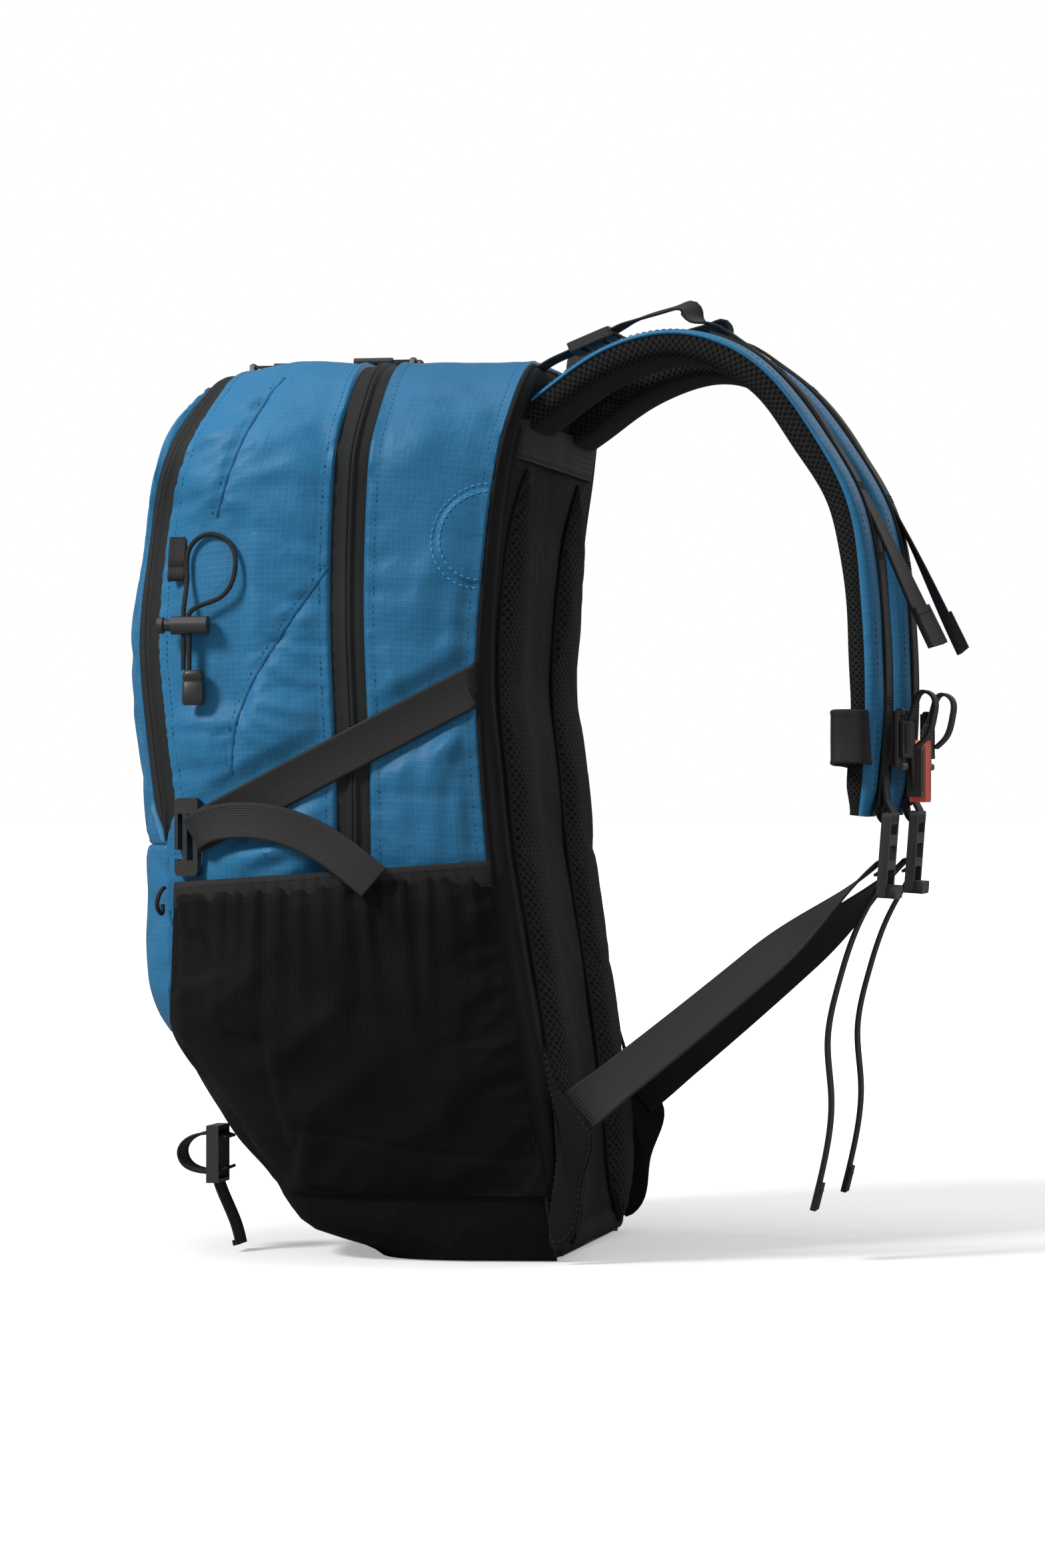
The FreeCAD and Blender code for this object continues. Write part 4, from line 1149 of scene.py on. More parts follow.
# ---- back panel -----------------------------------------------------------------------------
def make_back_panel():
    top, low = HEIGHT - 3, 2.0
    z = np.concatenate([low + np.array((0, 0.8, 2.2, 4.2, 7.0)), np.linspace(low + 10, top - 14, 120),
                        top - np.array((10.5, 7.0, 4.2, 2.2, 0.8, 0))])[:, None]
    half = half_width(z) - REAR_TAPER * 0.75
    d = np.array((0, 0.8, 2.2, 4.2, 7.0, 10, 13))
    inner = np.linspace(16, 1, 34)[None, :]
    edge_reach = 16 + (half - 16) * (16 - inner) / 15.0
    reach = np.hstack([np.broadcast_to(d[None, :], (len(z), len(d))), edge_reach])
    x = half - np.minimum(reach, half)
    x = np.hstack([-x[:, :-1], x[:, ::-1]])
    depth = at(REAR_FACE, z) - at(REAR_SEAM, z)
    from_edge = np.minimum(np.minimum(half - np.abs(x), (z - low) * 1.0), (top - z) * 1.0)
    round_share = np.clip(1 - from_edge / 8.0, 0, 1)
    y = at(REAR_SEAM, z) + depth * np.sqrt(np.clip(1 - round_share ** 2, 0, 1)) + 0 * x
    channel = 1.0 * np.exp(-(x / 22) ** 2)
    y = y - channel + ripple(x, z, 61, 70, 0.35) * smooth((from_edge - 10) / 10)
    ditch = np.exp(-((from_edge - 13) / 1.4) ** 2)
    y = y - 0.9 * ditch
    grid = sheet(x, y, z)
    cloth = Cloth()
    thick(cloth, grid, 1.0, 0, 1, out=np.broadcast_to(np.array((0.0, 1.0, 0.0)), grid.shape))
    edge_faces = (from_edge[:-1, :-1] < 13).ravel()
    for index in np.nonzero(edge_faces)[0]:
        cloth.slots[index] = 2
    cloth.piece("back_panel_cloth", (channel_cloth, lining, binding_cloth), slot="black_fabric",
                nodes=("back_fabric", "back_foam", "back_edge_strip"), body="pack")
    bead = Cloth()
    outline_z = np.concatenate([low + 1 + 6 * (1 - np.cos(np.linspace(0, 1, 8) * math.pi / 2)),
                                np.linspace(low + 9, top - 70, 60), np.linspace(top - 68, top, 60)])
    half = half_width(outline_z) - REAR_TAPER * 0.72
    y = at(REAR_SEAM, outline_z) + 0.3
    side = np.stack([half, y, outline_z], 1)
    loop = np.vstack([side, [(0, y[-1], top)], (side * (-1, 1, 1))[::-1]])
    loop = resample(loop, 300)
    sweep(bead, loop, (0, 1, 0), oval(3.0, 3.0, 10))
    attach(bead.piece("back_seam_piping", (binding_cloth,)), "pack")
    inner = Cloth()
    z = np.linspace(6, top - 6, 60)[:, None]
    x = np.linspace(1, -1, 40)[None, :] * (half_width(z) - REAR_TAPER - 3)
    y = at(REAR_SEAM, z) - 1.6 + ripple(x, z, 90, 60, 0.4)
    grid = sheet(x, y, z)
    thick(inner, grid, 0.6, 0, 0)
    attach(inner.piece("back_lining", (lining,)), "pack")


make_back_panel()

PAD_RIGHT = ((74, 428), (98, 395), (108, 330), (108, 220), (102, 120), (96, 30), (70, 8))
PAD_LEFT = ((74, 428), (56, 400), (42, 330), (38, 220), (37, 120), (42, 30), (70, 8))


def make_back_pad(side, name):
    """Crowned mesh pad with a pointed top, swollen by cloth simulation."""
    z = 8 + (428 - 8) * (1 - np.cos(np.linspace(0.02, 0.98, 110) * math.pi)) / 2
    right = curve(PAD_RIGHT, 400)
    left = curve(PAD_LEFT, 400)
    x1 = np.interp(z, right[::-1, 1], right[::-1, 0])
    x0 = np.interp(z, left[::-1, 1], left[::-1, 0])
    share = (1 - np.cos(np.linspace(0, 1, 26) * math.pi)) / 2
    x = x0[:, None] + (x1 - x0)[:, None] * share[None, :]
    narrow = np.clip((x1 - x0) / 50, 0, 1)[:, None]
    crown = 6.2 * (1 - np.abs(2 * share - 1) ** 3.2)[None, :] ** 0.6 * narrow ** 0.5
    zz = z[:, None] + 0 * x
    face = at(REAR_FACE, zz)
    rear = np.stack([x, face + 0.5 + crown, zz], 2)
    front = np.stack([x, face + 0.3 + 0 * x, zz], 2)
    rows, columns = x.shape
    ring = np.concatenate([rear, front[:, -2:0:-1]], axis=1)
    total = ring.shape[1]
    faces = [tuple(f) for f in quads(rows, total, wrap=True)]
    faces += [tuple(range(total - 1, -1, -1)), tuple(range((rows - 1) * total, rows * total))]
    points = ring.reshape(-1, 3)
    held = np.zeros((rows, total), bool)
    held[:, columns - 1:] = True
    held[:, 0] = True
    held[[0, -1]] = True
    settled = simulate(points, faces, held.ravel(), 5.0, 0.008, 1.6)
    settled = settled.reshape(rows, total, 3)
    waves = np.pad(ripple(x, zz, 51 + side, 60, 0.2), ((0, 0), (0, total - columns)))
    settled[..., 1] += np.where(np.arange(total)[None, :] < columns, waves, 0)
    cloth = Cloth()
    out = settled * (side, 1, 1)
    ordered = faces if side == LEFT else [tuple(reversed(f)) for f in faces]
    cloth.add(out.reshape(-1, 3), [tuple(reversed(f)) for f in ordered],
              out[..., ::2].reshape(-1, 2))
    rim = np.concatenate([rear[:, 0], rear[::-1, -1]]) * (side, 1, 1)
    rim = resample(np.vstack([rim, rim[:1]]), 240)
    rim[:, 1] = at(REAR_FACE, rim[:, 2]) + 0.9
    sweep(cloth, rim, (0, 1, 0), oval(2.4, 2.4, 8), 1)
    nodes = ("back_pads",) if side == RIGHT else ()
    cloth.piece("back_pad_" + name, (pad_mesh, binding_cloth), 50, "black_mesh", nodes, "pack")


for side, name in SIDES:
    make_back_pad(side, name)


def make_yoke():
    cloth = Cloth()
    z = np.linspace(431.5, 452.5, 12)[:, None]
    x = np.linspace(-110, 110, 80)[None, :]
    fall = np.clip((np.abs(x) - 98) / 12, 0, 1)
    y = at(REAR_FACE, z) + 2.2 - 4.5 * fall ** 2 + 0.3 * np.sin(x / 9.0)
    grid = sheet(x, y, z)
    thick(cloth, grid, 1.4, 0, 0)
    for row in (1, -2):
        stitches(cloth, grid[row][::2], (0, 1, 0), 2.4, 1.4, 0.25, 1)
    cloth.piece("yoke_webbing", (webbing_grey, black_thread), slot="black_webbing",
                nodes=("yoke_band",), body="pack")


make_yoke()


def make_sleeve():
    cloth = Cloth()
    z = np.linspace(60, 380, 70)[:, None]
    x = np.linspace(85, -85, 50)[None, :]
    puff = 2.0 * np.sin((x / 170 + 0.5) * math.pi) * smooth((z - 60) / 60)
    gather = 0.7 * np.sin(x / 3.2) * np.exp(-((380 - z) / 30) ** 2)
    y = at(REAR_SEAM, z) - 3.6 - puff - gather
    grid = sheet(x, y, z)
    thick(cloth, grid, 0.7, 0, 0)
    sweep(cloth, grid[-1] + (0, 0.4, 0), (0, 0, 1), oval(9, 2.2, 12, 3.0), 1)
    cloth.piece("hydration_sleeve_cloth", (lining, binding_cloth), slot="black_fabric",
                nodes=("hydration_sleeve",), body="pack")


make_sleeve()


def make_divider():
    """Inner wall and floor of the front pocket."""
    cloth = Cloth()
    z = np.linspace(FLAP_SEAM_Z + 2, 476, 70)[:, None]
    y = front_zip_at(z) + ZIP_HALF + 2.0
    x = np.linspace(1, -1, 60)[None, :] * (side_x(y, z) - 3.0)
    y = y + 1.2 * np.cos(x / 60) + ripple(x, z, 97, 70, 0.5)
    grid = sheet(x, y, z)
    thick(cloth, grid, 0.7, 0, 0)
    share = np.linspace(0, 1, 12)[:, None]
    depth_from = float(front_zip_at(FLAP_SEAM_Z + 2)) + ZIP_HALF + 2.0
    y = -112.0 + (depth_from + 112.0) * share
    x = np.linspace(1, -1, 60)[None, :] * (side_x(y, FLAP_SEAM_Z + 3 + 0 * y) - 3.0)
    grid = sheet(x, y, FLAP_SEAM_Z + 2.5 - 1.5 * np.cos(x / 50))
    thick(cloth, grid, 0.7, 0, 0)
    cloth.piece("front_divider_cloth", (lining,), slot="black_fabric", nodes=("front_divider",),
                body="cover")


make_divider()


WEBBING_FOOT = np.array((128.0, 79.0))       # where the lower webbing leaves the wing
WEBBING_RUN = unit(np.array((160.0, 136.0)))


def make_wing(side, name):
    """Sewn triangle at the foot of the back that holds the lower webbing."""
    outline = curve(((114.2, 118), (118.5, 104), (122.5, 94.5), (132, 83.5), (140.6, 70.5), (134, 42),
                     (127, 12), (122.6, 8), (120.6, 60), (117, 100), (114.2, 118)), 60)
    middle = outline.mean(0)
    rings = (0.002, 0.45, 0.75, 0.92, 1.0)
    bulge = (1.7, 1.7, 1.5, 1.2, 0.5)
    x_mid = 106.2
    rows = [np.column_stack([np.full(60, x_mid + b), middle + (outline - middle) * r])
            for r, b in zip(rings, bulge)]
    back = [np.column_stack([np.full(60, x_mid - b), middle + (outline - middle) * r])
            for r, b in zip(rings[::-1], bulge[::-1])]
    grid = np.stack(rows + back)
    grid[..., 0] += 5.6 * smooth(((grid[..., 1:] - WEBBING_FOOT) @ WEBBING_RUN + 22) / 20)
    grid = grid * (side, 1, 1)
    cloth = Cloth()
    faces = quads(len(grid), 60)
    faces = faces if side == LEFT else faces[:, ::-1]
    cloth.add(grid.reshape(-1, 3), [tuple(f) for f in faces], grid[..., 1:3].reshape(-1, 2))
    path = grid[3]
    stitches(cloth, path, (side, 0, 0), 2.2, 1.3, 0.24, 1, 0.3)
    nodes = ("wing_panels",) if side == RIGHT else ()
    cloth.piece("wing_cloth_" + name, (smooth_black, black_thread), 50, "black_fabric", nodes, "pack")


for side, name in SIDES:
    make_wing(side, name)


# ---- webbing --------------------------------------------------------------------------------
def tuck_under_seam(cloth):
    """Turns the end of a strap inwards where it passes behind the rear seam."""
    for points in cloth.points:
        past = points[:, 1] - at(REAR_SEAM, points[:, 2]) + 0.5
        sunk = smooth(past / 2.0)
        points[:, 0] -= np.sign(points[:, 0]) * 8 * sunk
        points[:, 1] -= np.maximum(past - 2.5, 0)


def at_x(x, line):
    """Path in the plane at this x, along a line of (y, z) points."""
    return np.column_stack([np.full(len(line), x), line])


def band(name, path, across, width, body=None, nodes=(), thickness=1.5, folded=False,
         stitched=(), shape=None):
    """Length of webbing; folded doubles its free end and stitched marks sewn bars."""
    cloth = Cloth()
    across = np.broadcast_to(np.asarray(across, float), path.shape)
    sweep(cloth, path, across, band_section(width, thickness))
    heading = unit(np.gradient(path, axis=0))
    up = np.cross(heading, unit(across - heading * (across * heading).sum(1, keepdims=True)))
    if folded:
        count = max(int(len(path) * 0.09), 4)
        tip = path[-count:] + up[-count:] * thickness * 1.02
        sweep(cloth, tip, across[-count:], band_section(width, thickness))
        bar = [path[-count + 2] + across[-1] * s * width * 0.42 + up[-1] * thickness * 1.6
               for s in (-1, 1)]
        stitches(cloth, bar, up[-1], 1.5, 0.4, 0.3, 1)
    for share in stitched:
        i = int(share * (len(path) - 1))
        for shift in (-1.6, 0, 1.6):
            for face in (1, -1):
                bar = [path[i] + heading[i] * shift + unit(across[i]) * s * width * 0.4
                       + up[i] * face * thickness * 0.6 for s in (-1, 1)]
                stitches(cloth, bar, up[i] * face, 1.4, 0.3, 0.28, 1)
    if shape:
        shape(cloth)
    return cloth.piece(name, (webbing_black, black_thread), 60, "black_webbing", nodes, body)


def compression_strap(side, name):
    """Strap over the main zip from the rear seam to the hook, and its loose tail."""
    count = 90
    s = np.linspace(0, 1, count)[:, None]
    line = STRAP_FROM + (STRAP_TO - STRAP_FROM) * s
    x = np.array([on_bag(y, z, side, 0)[0][0] * side for y, z in line])
    smoothed = np.array([x[max(0, i - 9):i + 10].max() for i in range(count)])
    kernel = np.ones(15) / 15
    smoothed = np.convolve(np.pad(smoothed, 7, mode="edge"), kernel, mode="valid") + 1.3
    path = np.column_stack([smoothed * side, line])
    behind = np.array([(smoothed[0], 96.0, 317.2), (smoothed[0], 92.0, 315.1),
                       (smoothed[0], 88.0, 313.1)]) * (side, 1, 1)
    path = np.vstack([behind, path])
    hook = np.array([(134.8, -70.0, 231.5), (132.6, -73.6, 229.8)]) * (side, 1, 1)
    path = np.vstack([path[:-1], hook])
    path = curve(np.vstack([path[:3], path[3:-2:6], path[-2:]]), 110)
    across = np.array((0, STRAP_FROM[1] - STRAP_TO[1], STRAP_TO[0] - STRAP_FROM[0]))
    across = unit(across)
    end_turn = smooth((np.arange(110) - 90) / 18)[:, None]
    across = across * (1 - end_turn) + np.array((0, 0.0, -1.0)) * end_turn
    obj = band("compression_strap_" + name, path, across, 22, shape=tuck_under_seam)
    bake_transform(obj)
    tail = np.array([(133.4, -73.8, 229.5), (137.6, -72.6, 230.5), (140.6, -66, 234), (143.2, -54, 237),
                     (145.6, -38, 237.5), (147.6, -20, 234.5), (149.2, -4, 228.5), (151.6, 11, 220),
                     (154.0, 24, 210.5), (155.0, 31, 205)]) * (side, 1, 1)
    tail = curve(tail, 70)
    heading = unit(np.gradient(tail, axis=0))
    across = np.cross(heading, (side, 0, 0)) + np.array((0.22 * side, 0, 0))
    loose = band("compression_tail_" + name, tail, unit(across), 20, folded=True)
    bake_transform(loose)
    return obj, loose


for side, name in SIDES:
    obj, _ = compression_strap(side, name)
    if side == RIGHT:
        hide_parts("compression_straps_front", "compression_straps_rear")


def make_lower_webbing(side, name):
    """Webbing from the wing to the ladder lock, turning a quarter along its length."""
    start = np.array((108.8, 126.0, 77.3))
    end = np.array((61.0, 288.0, 215.0))
    s = np.linspace(0, 1, 80)[:, None]
    sag = -3.0 * np.sin(s * math.pi)
    path = start + (end - start) * s + np.array((0, 0.3, 1.0)) * sag
    turn_back = [(61, 291.5, 216.0), (61, 293.5, 214.0), (61, 291.5, 211.5), (61, 286.5, 208)]
    path = np.vstack([path, turn_back])
    heading = unit(np.gradient(path, axis=0))
    flat = unit(np.array((1.0, 0, 0)) - heading * heading[:, :1])
    up = np.cross(heading, flat)
    turn = 0.30 * smooth(s[:, 0] / 0.16) + 0.45 * s[:, 0] \
        + (math.pi / 2 - 0.75) * smooth((s[:, 0] - 0.62) / 0.36)
    turn = np.concatenate([turn, np.full(4, math.pi / 2)])[:, None]
    across = up * np.cos(turn) + flat * np.sin(turn)
    obj = band("lower_webbing_" + name, path * (side, 1, 1), across * (side, 1, 1), 25,
               stitched=(0.02, 0.06))
    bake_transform(obj)
    return obj


lower = [make_lower_webbing(side, name) for side, name in SIDES]
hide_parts("lower_webbings")


# ---- shoulder straps ------------------------------------------------------------------------
def strap_path(low, high, height, count):
    """Line along the strap, a given height above its middle surface towards the outside."""
    middle = curve(STRAP_PATH, 400)
    heading = unit(np.gradient(middle, axis=0))
    shifted = middle + np.stack([-heading[:, 1], heading[:, 0]], 1) * height
    share = np.linspace(0, 1, 400)
    wanted = np.linspace(low, high, count)
    y, z = np.interp(wanted, share, shifted[:, 0]), np.interp(wanted, share, shifted[:, 1])
    return np.stack([np.zeros(count), y, z], 1)


def strap_sections(points, low, high, count):
    """The strap's cross section along its length, narrower towards its lower end."""
    share = np.linspace(low, high, count)
    width = 1 - 0.34 * smooth((share - 0.80) / 0.2) - 0.05 * smooth((0.10 - share) / 0.1)
    section = np.broadcast_to(np.asarray(points, float), (count, len(points), 2)).copy()
    section[:, :, 0] *= width[:, None]
    swell = 1 + 0.10 * np.sin(share * math.pi) - 0.35 * smooth((share - 0.955) / 0.045)
    section[:, :, 1] *= swell[:, None]
    return section


PAD_SECTION = ((-33.2, 2.4), (-34.2, 1.0), (-34.6, -2.0), (-33.8, -4.8), (-31, -6.8), (-26, -7.7),
               (-14, -8.2), (0, -8.4), (14, -8.2), (26, -7.7), (31, -6.8), (33.8, -4.8),
               (34.6, -2.0), (34.2, 1.0), (33.2, 2.4), (16, 3.2), (0, 3.4), (-16, 3.2))
FACE_SECTION = ((-34.4, 0.9), (-35.2, 2.0), (-35.0, 4.2), (-33.4, 6.0), (-29, 7.1), (-18, 7.7),
                (0, 8.0), (18, 7.7), (29, 7.1), (33.4, 6.0), (35.0, 4.2), (35.2, 2.0), (34.4, 0.9),
                (33.4, 2.2), (30, 4.0), (0, 4.6), (-30, 4.0), (-33.4, 2.2))


def make_strap(side, name):
    body = "strap_" + name
    centre = np.array((STRAP_X * side, 0, 0))
    count = 150
    path = strap_path(0.0, 1.0, 0, count) + centre
    sections = strap_sections(PAD_SECTION, 0, 1, count)
    rng = np.random.default_rng(5)
    waves = 0.35 * np.sin(np.linspace(0, 40, count) + rng.uniform(0, 6))[:, None]
    sections[:, 3:12, 1] += waves
    thin = 1 - smooth((np.linspace(0, 1, count) - 0.42) / 0.3)[:, None]
    for index in (0, 1, 13, 14, 15, 16, 17):
        sections[:, index, 1] += (2.6 * thin)[:, 0]
    pad = Cloth()
    sweep(pad, path, (-1, 0, 0), sections)
    pad.piece("strap_mesh_" + name, (mesh_cloth,), 60, slot="black_mesh", nodes=("strap_pad_" + name,),
              body=body)

    face = Cloth()
    path = strap_path(0.0, 1.0, 0, count) + centre
    sections = strap_sections(FACE_SECTION, 0.0, 1, count)
    thin = 1 - smooth((np.linspace(0, 1, count) - 0.42) / 0.3)
    for index, lift in ((0, 3.4), (1, 3.0), (2, 1.4), (10, 1.4), (11, 3.0), (12, 3.4), (13, 2.6),
                        (14, 1.4), (15, 1.2), (16, 1.4), (17, 2.6)):
        sections[:, index, 1] += lift * thin
    length = np.linspace(0, 400, count)[:, None]
    sections[:, 4:9, 1] += ripple(length, np.arange(5)[None, :] * 14.0, 15, 55, 0.25)
    sweep(face, path, (-1, 0, 0), sections)
    for edge in (-1, 1):
        line = strap_path(0.05, 0.97, 7.15, 160) + centre
        taper = 1 - 0.34 * smooth((np.linspace(0.05, 0.97, 160) - 0.80) / 0.2)
        line[:, 0] += edge * 29.5 * taper
        heading = unit(np.gradient(line, axis=0))
        stitches(face, line, np.cross(heading, (-1, 0, 0)), 2.2, 1.4, 0.24, 1, 0.35)
    face.piece("strap_cloth_" + name, (blue_strap, blue_thread), 60, slot="blue_ripstop",
               nodes=("strap_face_" + name,), body=body)

    path = strap_path(0.27, 0.985, 9.2, 140) + centre
    band("strap_rail_webbing_" + name, path, (-1, 0, 0), 25, body, ("strap_rail_" + name,),
         stitched=(0.01, 0.14, 0.27, 0.40, 0.53, 0.80, 0.97))


for side, name in SIDES:
    make_strap(side, name)


ADJUSTER_TAIL = ((291, 207), (285, 197), (277, 182), (266, 150), (260, 118), (262, 88), (259, 58),
                 (252, 28))
LIFTER_TAIL = ((138, 500), (150, 506.5), (163, 511), (176, 514.5), (184, 515), (188, 509), (198, 505),
               (212, 497), (230, 483.5), (248, 465), (264, 441), (280, 412), (296, 380), (309, 352),
               (319, 331))
LIFTER_ANCHOR = ((101, 482), (108, 486.5), (118, 491), (127, 495))
LIFTER_KEEPER = ((141, 500.5), (147, 500), (153, 496.5), (162, 498.0), (174, 500.6))
LADDER_LOOP = ((290.5, 268), (291.6, 256), (293.2, 246), (296.0, 239), (294.5, 235), (290.5, 237),
               (287.5, 246))


def make_strap_webbing(side, name):
    """Loose webbing of one shoulder strap: its two tails, and the loops that hold its buckles."""
    body = "strap_" + name
    x = STRAP_X * side
    flat = (-1, 0, 0)
    band("adjuster_tail_webbing_" + name, at_x(x, curve(ADJUSTER_TAIL, 90)), flat, 16, body,
         ("adjuster_tail_" + name,), folded=True)
    s = np.linspace(0, 1, 150)
    twist = smooth((s - 0.55) / 0.45) * 0.36 + 0.5 * smooth((s - 0.02) / 0.05) * smooth((0.23 - s) / 0.05)
    across = np.stack([-np.cos(twist), 0.82 * np.sin(twist) * side, 0.55 * np.sin(twist) * side], 1)
    band("lifter_tail_webbing_" + name, at_x(x, curve(LIFTER_TAIL, 150)), across, 20, body,
         ("lifter_webbing_" + name,), folded=True)
    obj = band("lifter_anchor_webbing_" + name, at_x(x, curve(LIFTER_ANCHOR, 30)), flat, 20,
               stitched=(0.1,))
    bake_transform(obj)
    band("lifter_keeper_webbing_" + name, at_x(x, curve(LIFTER_KEEPER, 30)), flat, 22, body,
         stitched=(0.75,))
    band("ladder_loop_webbing_" + name, at_x(x, curve(LADDER_LOOP, 50)), flat, 25, body,
         stitched=(0.12,))


for side, name in SIDES:
    make_strap_webbing(side, name)


# ---- sternum strap --------------------------------------------------------------------------
KEEPER_Z = 281.0
STERNUM_Y = 301.5
BUCKLE_Z = (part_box("buckle_socket")[0].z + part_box("buckle_socket")[1].z) / 2 / MM


STERNUM_LOOP = ((299.5, 286), (304, 296), (310, 307), (314.5, 305), (315.5, 294), (312, 283),
                (306, 277))


def make_sternum(side, name):
    """Half of the sternum strap: band round the shoulder strap, webbing, spare loop and slider."""
    body = "sternum_" + name
    t = np.linspace(0, 2 * math.pi, 90)
    ring = np.stack([STRAP_X * side + 37.2 * np.sign(np.cos(t)) * np.abs(np.cos(t)) ** 0.42,
                     276.2 + 10.6 * np.sign(np.sin(t)) * np.abs(np.sin(t)) ** 0.42,
                     KEEPER_Z + 1.2 * np.cos(t)], 1)
    band("keeper_band_" + name, resample(ring, 120), (0, 0, 1), 29, body, ("keeper_loop_" + name,),
         thickness=2.0)
    inner_x = 22.0 if side == RIGHT else 27.0
    s = np.linspace(0, 1, 60)
    x = 74 + (inner_x - 74) * s
    z = KEEPER_Z + (BUCKLE_Z - KEEPER_Z) * smooth((s - 0.875) / 0.115)
    y = STERNUM_Y + 0.5 * np.sin(s * math.pi)
    rides = "sternum_plug" if side == RIGHT else body
    band("sternum_webbing_cloth_" + name, np.column_stack([x * side, y, z]), (0, 0, 1), 20, rides,
         ("sternum_webbing_" + name,), stitched=(0.2,))
    band("sternum_loop_" + name, at_x(44.0 * side, curve(STERNUM_LOOP, 50)), (-1, 0, 0), 20, body)
    slider = Cloth()
    middle = STRAP_X * side
    for end in (-1, 1):
        z = KEEPER_Z + end * 14.5
        bar = resample([(middle - 11, 300.0, z), (middle + 11, 300.0, z)], 8)
        sweep(slider, bar, (0, 0, 1), oval(4.0, 4.5, 14, 3.0))
    for end in (-1, 1):
        x = middle + end * 10
        bar = resample([(x, 298.6, KEEPER_Z - 15), (x, 298.6, KEEPER_Z + 15)], 8)
        sweep(slider, bar, (1, 0, 0), oval(4.0, 4.0, 14, 3.0))
    slider.piece("sternum_slider_" + name, (black_plastic,), slot="black_plastic", body=body)


for side, name in SIDES:
    make_sternum(side, name)


# ---- loops ----------------------------------------------------------------------------------
AXE_LOOP_X = 60.0
AXE_LOOP = ((-72, 62.5), (-80, 64.5), (-88, 64), (-96, 60.5), (-99.5, 55), (-97.5, 48), (-88, 43.5),
            (-79, 43.5), (-72, 46))
AXE_TAIL = ((-79.5, 40), (-77, 33), (-73, 24), (-68.5, 13), (-66, 3.5))


def make_loops():
    t = np.linspace(-0.12, math.pi + 0.12, 60)
    haul = np.stack([20.3 * np.cos(t), np.full(60, 117.5), 478.4 + 20.3 * np.sin(t)], 1)
    band("haul_loop_webbing", haul, (0, 1, 0), 18, "haul_loop", ("haul_loop",), thickness=2.2,
         stitched=(0.06, 0.94))
    band("axe_loop_webbing", at_x(AXE_LOOP_X, curve(AXE_LOOP, 70)), (1, 0, 0), 20, "axe_loop",
         ("axe_loop",))
    band("axe_tail_webbing", at_x(AXE_LOOP_X, curve(AXE_TAIL, 40)), (1, 0, 0), 20, "axe_loop",
         folded=True)


make_loops()


def make_cord_ends():
    """Webbing tab that holds the cord loop, and the moulded end on the cord's tails."""
    lock = (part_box("cord_lock_body")[0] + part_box("cord_lock_body")[1]) / 2 / MM
    lock.y += BASE_Y
    tab = Cloth()
    z = np.array((390, 386, 380, 374, 369, 366.5, 369, 375, 382, 389))
    lift = np.array((0.6, 1.0, 1.6, 2.6, 4.2, 3.6, 2.4, 3.2, 2.4, 1.2)) * 0.9
    points = [on_bag(-83, h, RIGHT, 0)[0] + np.array((a + 1.0, 0, 0)) for h, a in zip(z, lift)]
    sweep(tab, curve(np.array(points), 40), (0, 1, 0), band_section(10, 1.2))
    tab.piece("cord_tab_webbing", (webbing_black,), slot="black_webbing", nodes=("cord_ends",),
              body="cover")
    end = Cloth()
    heights = (318, 317.4, 316, 313.2, 312.6, 311.4, 310.8, 302, 300, 299.2)
    sizes = ((4.6, 7.5), (6.0, 9.4), (6.8, 11.0), (7.0, 11.8), (6.3, 11.0), (6.3, 11.0), (7.0, 11.9),
             (7.0, 12.2), (6.6, 11.6), (5.6, 10.4))
    sections = np.stack([oval(w, h, 24, 3.4) for w, h in sizes])
    path = np.array([(lock.x, lock.y + 2.0, h) for h in heights])
    sweep(end, path, (-1, 0, 0), sections)
    end.piece("cord_end_block", (black_plastic,), 40, slot="black_plastic", body="cover")


make_cord_ends()


# ---- materials of the CAD parts that show ---------------------------------------------------
CAD_LOOKS = (
    (sheet_look, ("frame_sheet",)),
    (dark_metal, ("hook_left", "hook_right")),
    (cord_look, ("hook_loops", "elastic_cord")),
    (spring_steel, ("cord_lock_spring",)),
    (black_plastic, ("cord_lock_body", "cord_lock_plunger", "ladder_lock_left", "ladder_lock_right",
                     "lifter_buckle_left", "lifter_buckle_right", "buckle_plug", "axe_loop_slide")),
    (orange_plastic, ("buckle_socket",)),
    (silver, ("main_slider_left", "main_slider_right", "front_slider")),
    (rubber_grip, ("main_puller_left", "main_puller_right", "front_puller")))
for look, nodes in CAD_LOOKS:
    for node in nodes:
        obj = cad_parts[node]
        if not obj.data.materials:
            obj.data.materials.append(look)
        for slot in obj.material_slots:
            slot.material = look


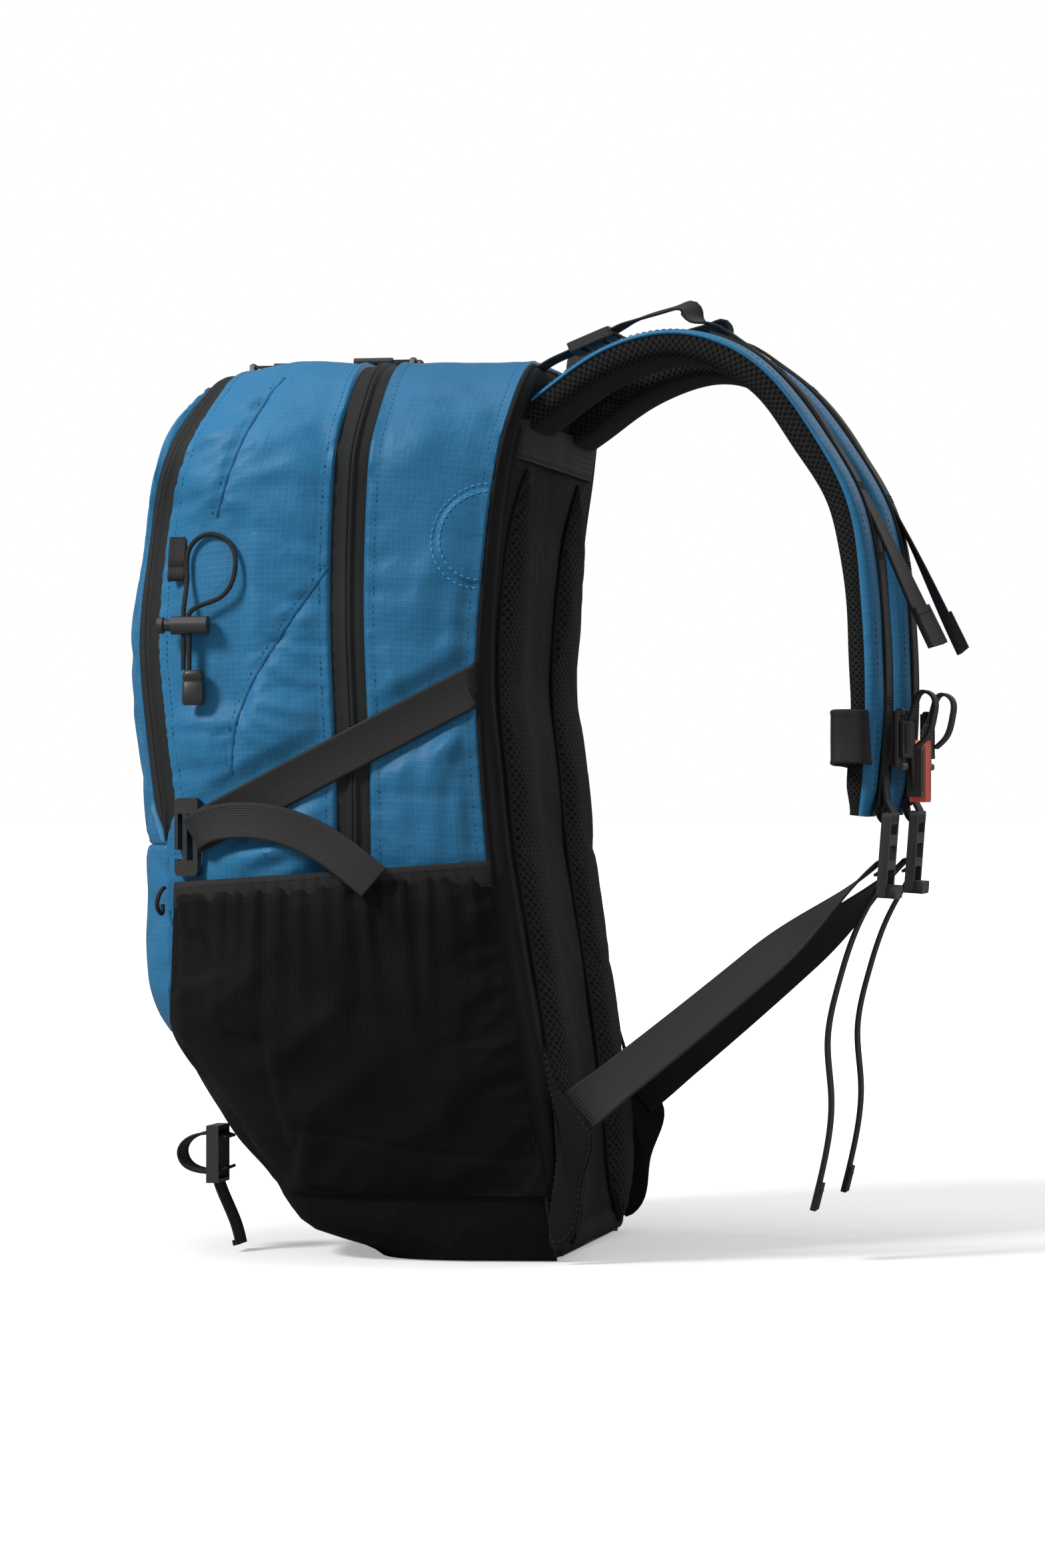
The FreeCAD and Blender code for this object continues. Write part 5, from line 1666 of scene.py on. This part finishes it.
# ---- stage, light and camera ----------------------------------------------------------------
def make_floor():
    """Pale floor that glows for the camera and fades into the white backdrop away from the pack."""
    look = Look("pale_floor", 0.9, 0.05)
    x, y, _ = look.solid()
    far = look.math("SQRT", look.math("ADD", look.math("MULTIPLY", x, x), look.math("MULTIPLY", y, y)))
    away = look.ramp(far, 450.0, 1500.0)
    seen = look.tree.nodes.new("ShaderNodeLightPath").outputs["Is Camera Ray"]
    tone = look.noise(3.0, 1.0)
    pale = look.mix(tone, (0.80, 0.80, 0.80), (0.83, 0.83, 0.83))
    # Emission seen only by camera rays makes the floor glow as painted light, weaker near the pack so its
    # shadow shows and stronger further away; other rays see a grey floor.
    look.colour(look.mix(seen, (0.30, 0.30, 0.30), pale))
    look.shader.inputs["Emission Color"].default_value = (1, 1, 1, 1)
    look.link(look.math("MULTIPLY", seen, look.math("MULTIPLY_ADD", away, 0.9, 0.36)),
              look.shader.inputs["Emission Strength"])
    mesh = bpy.data.meshes.new("floor")
    rings = [0.0, 0.4, 1.0, 2.0, 5.0, 30.0]
    count = 64
    turn = [2 * math.pi * i / count for i in range(count)]
    points = [(r * math.cos(a), r * math.sin(a), -0.0004) for r in rings[1:] for a in turn]
    faces = [tuple(int(v) for v in f) for f in quads(len(rings) - 1, count, wrap=True)]
    faces.append(tuple(range(count)))
    mesh.from_pydata(points, [], faces)
    mesh.materials.append(look.material)
    floor = bpy.data.objects.new("floor", mesh)
    bpy.context.scene.collection.objects.link(floor)


make_floor()


AIM = Vector(place(0, 80, 257))


def aimed(name, data, position):
    """Lamp or camera at a position, turned towards the middle of the pack."""
    obj = bpy.data.objects.new(name, data)
    obj.location = position
    obj.rotation_mode = "QUATERNION"
    obj.rotation_quaternion = (AIM - Vector(position)).to_track_quat("-Z", "Y")
    bpy.context.scene.collection.objects.link(obj)
    return obj


LAMPS = (("key", (1.9, -2.0, 2.3), 0.9, 88), ("fill", (2.4, 1.8, 0.9), 2.0, 9),
         ("top", (0.2, -0.3, 3.0), 1.6, 22), ("back", (-2.0, 1.2, 1.8), 2.0, 12))
for name, position, size, watts in LAMPS:
    data = bpy.data.lights.new(name, "AREA")
    data.shape = "DISK"
    data.size = size
    data.energy = watts
    aimed(name, data, position)

world = bpy.data.worlds.new("studio")
world.use_nodes = True
background = world.node_tree.nodes["Background"]
background.inputs["Color"].default_value = (1, 1, 1, 1)
seen = world.node_tree.nodes.new("ShaderNodeLightPath").outputs["Is Camera Ray"]
level = world.node_tree.nodes.new("ShaderNodeMapRange")
level.inputs["To Min"].default_value = 0.30
level.inputs["To Max"].default_value = 1.0
world.node_tree.links.new(seen, level.inputs["Value"])
world.node_tree.links.new(level.outputs[0], background.inputs["Strength"])
bpy.context.scene.world = world
bpy.context.scene.view_settings.view_transform = "Standard"

CAMERA_AZIMUTH = math.radians(101.5)
CAMERA_DISTANCE = 2.7
camera_data = bpy.data.cameras.new("camera")
camera_data.lens = 111.1
camera_data.sensor_width = 36.0
back = Vector((math.sin(CAMERA_AZIMUTH), -math.cos(CAMERA_AZIMUTH), 0))
bpy.context.scene.camera = aimed("camera", camera_data, AIM + back * CAMERA_DISTANCE)
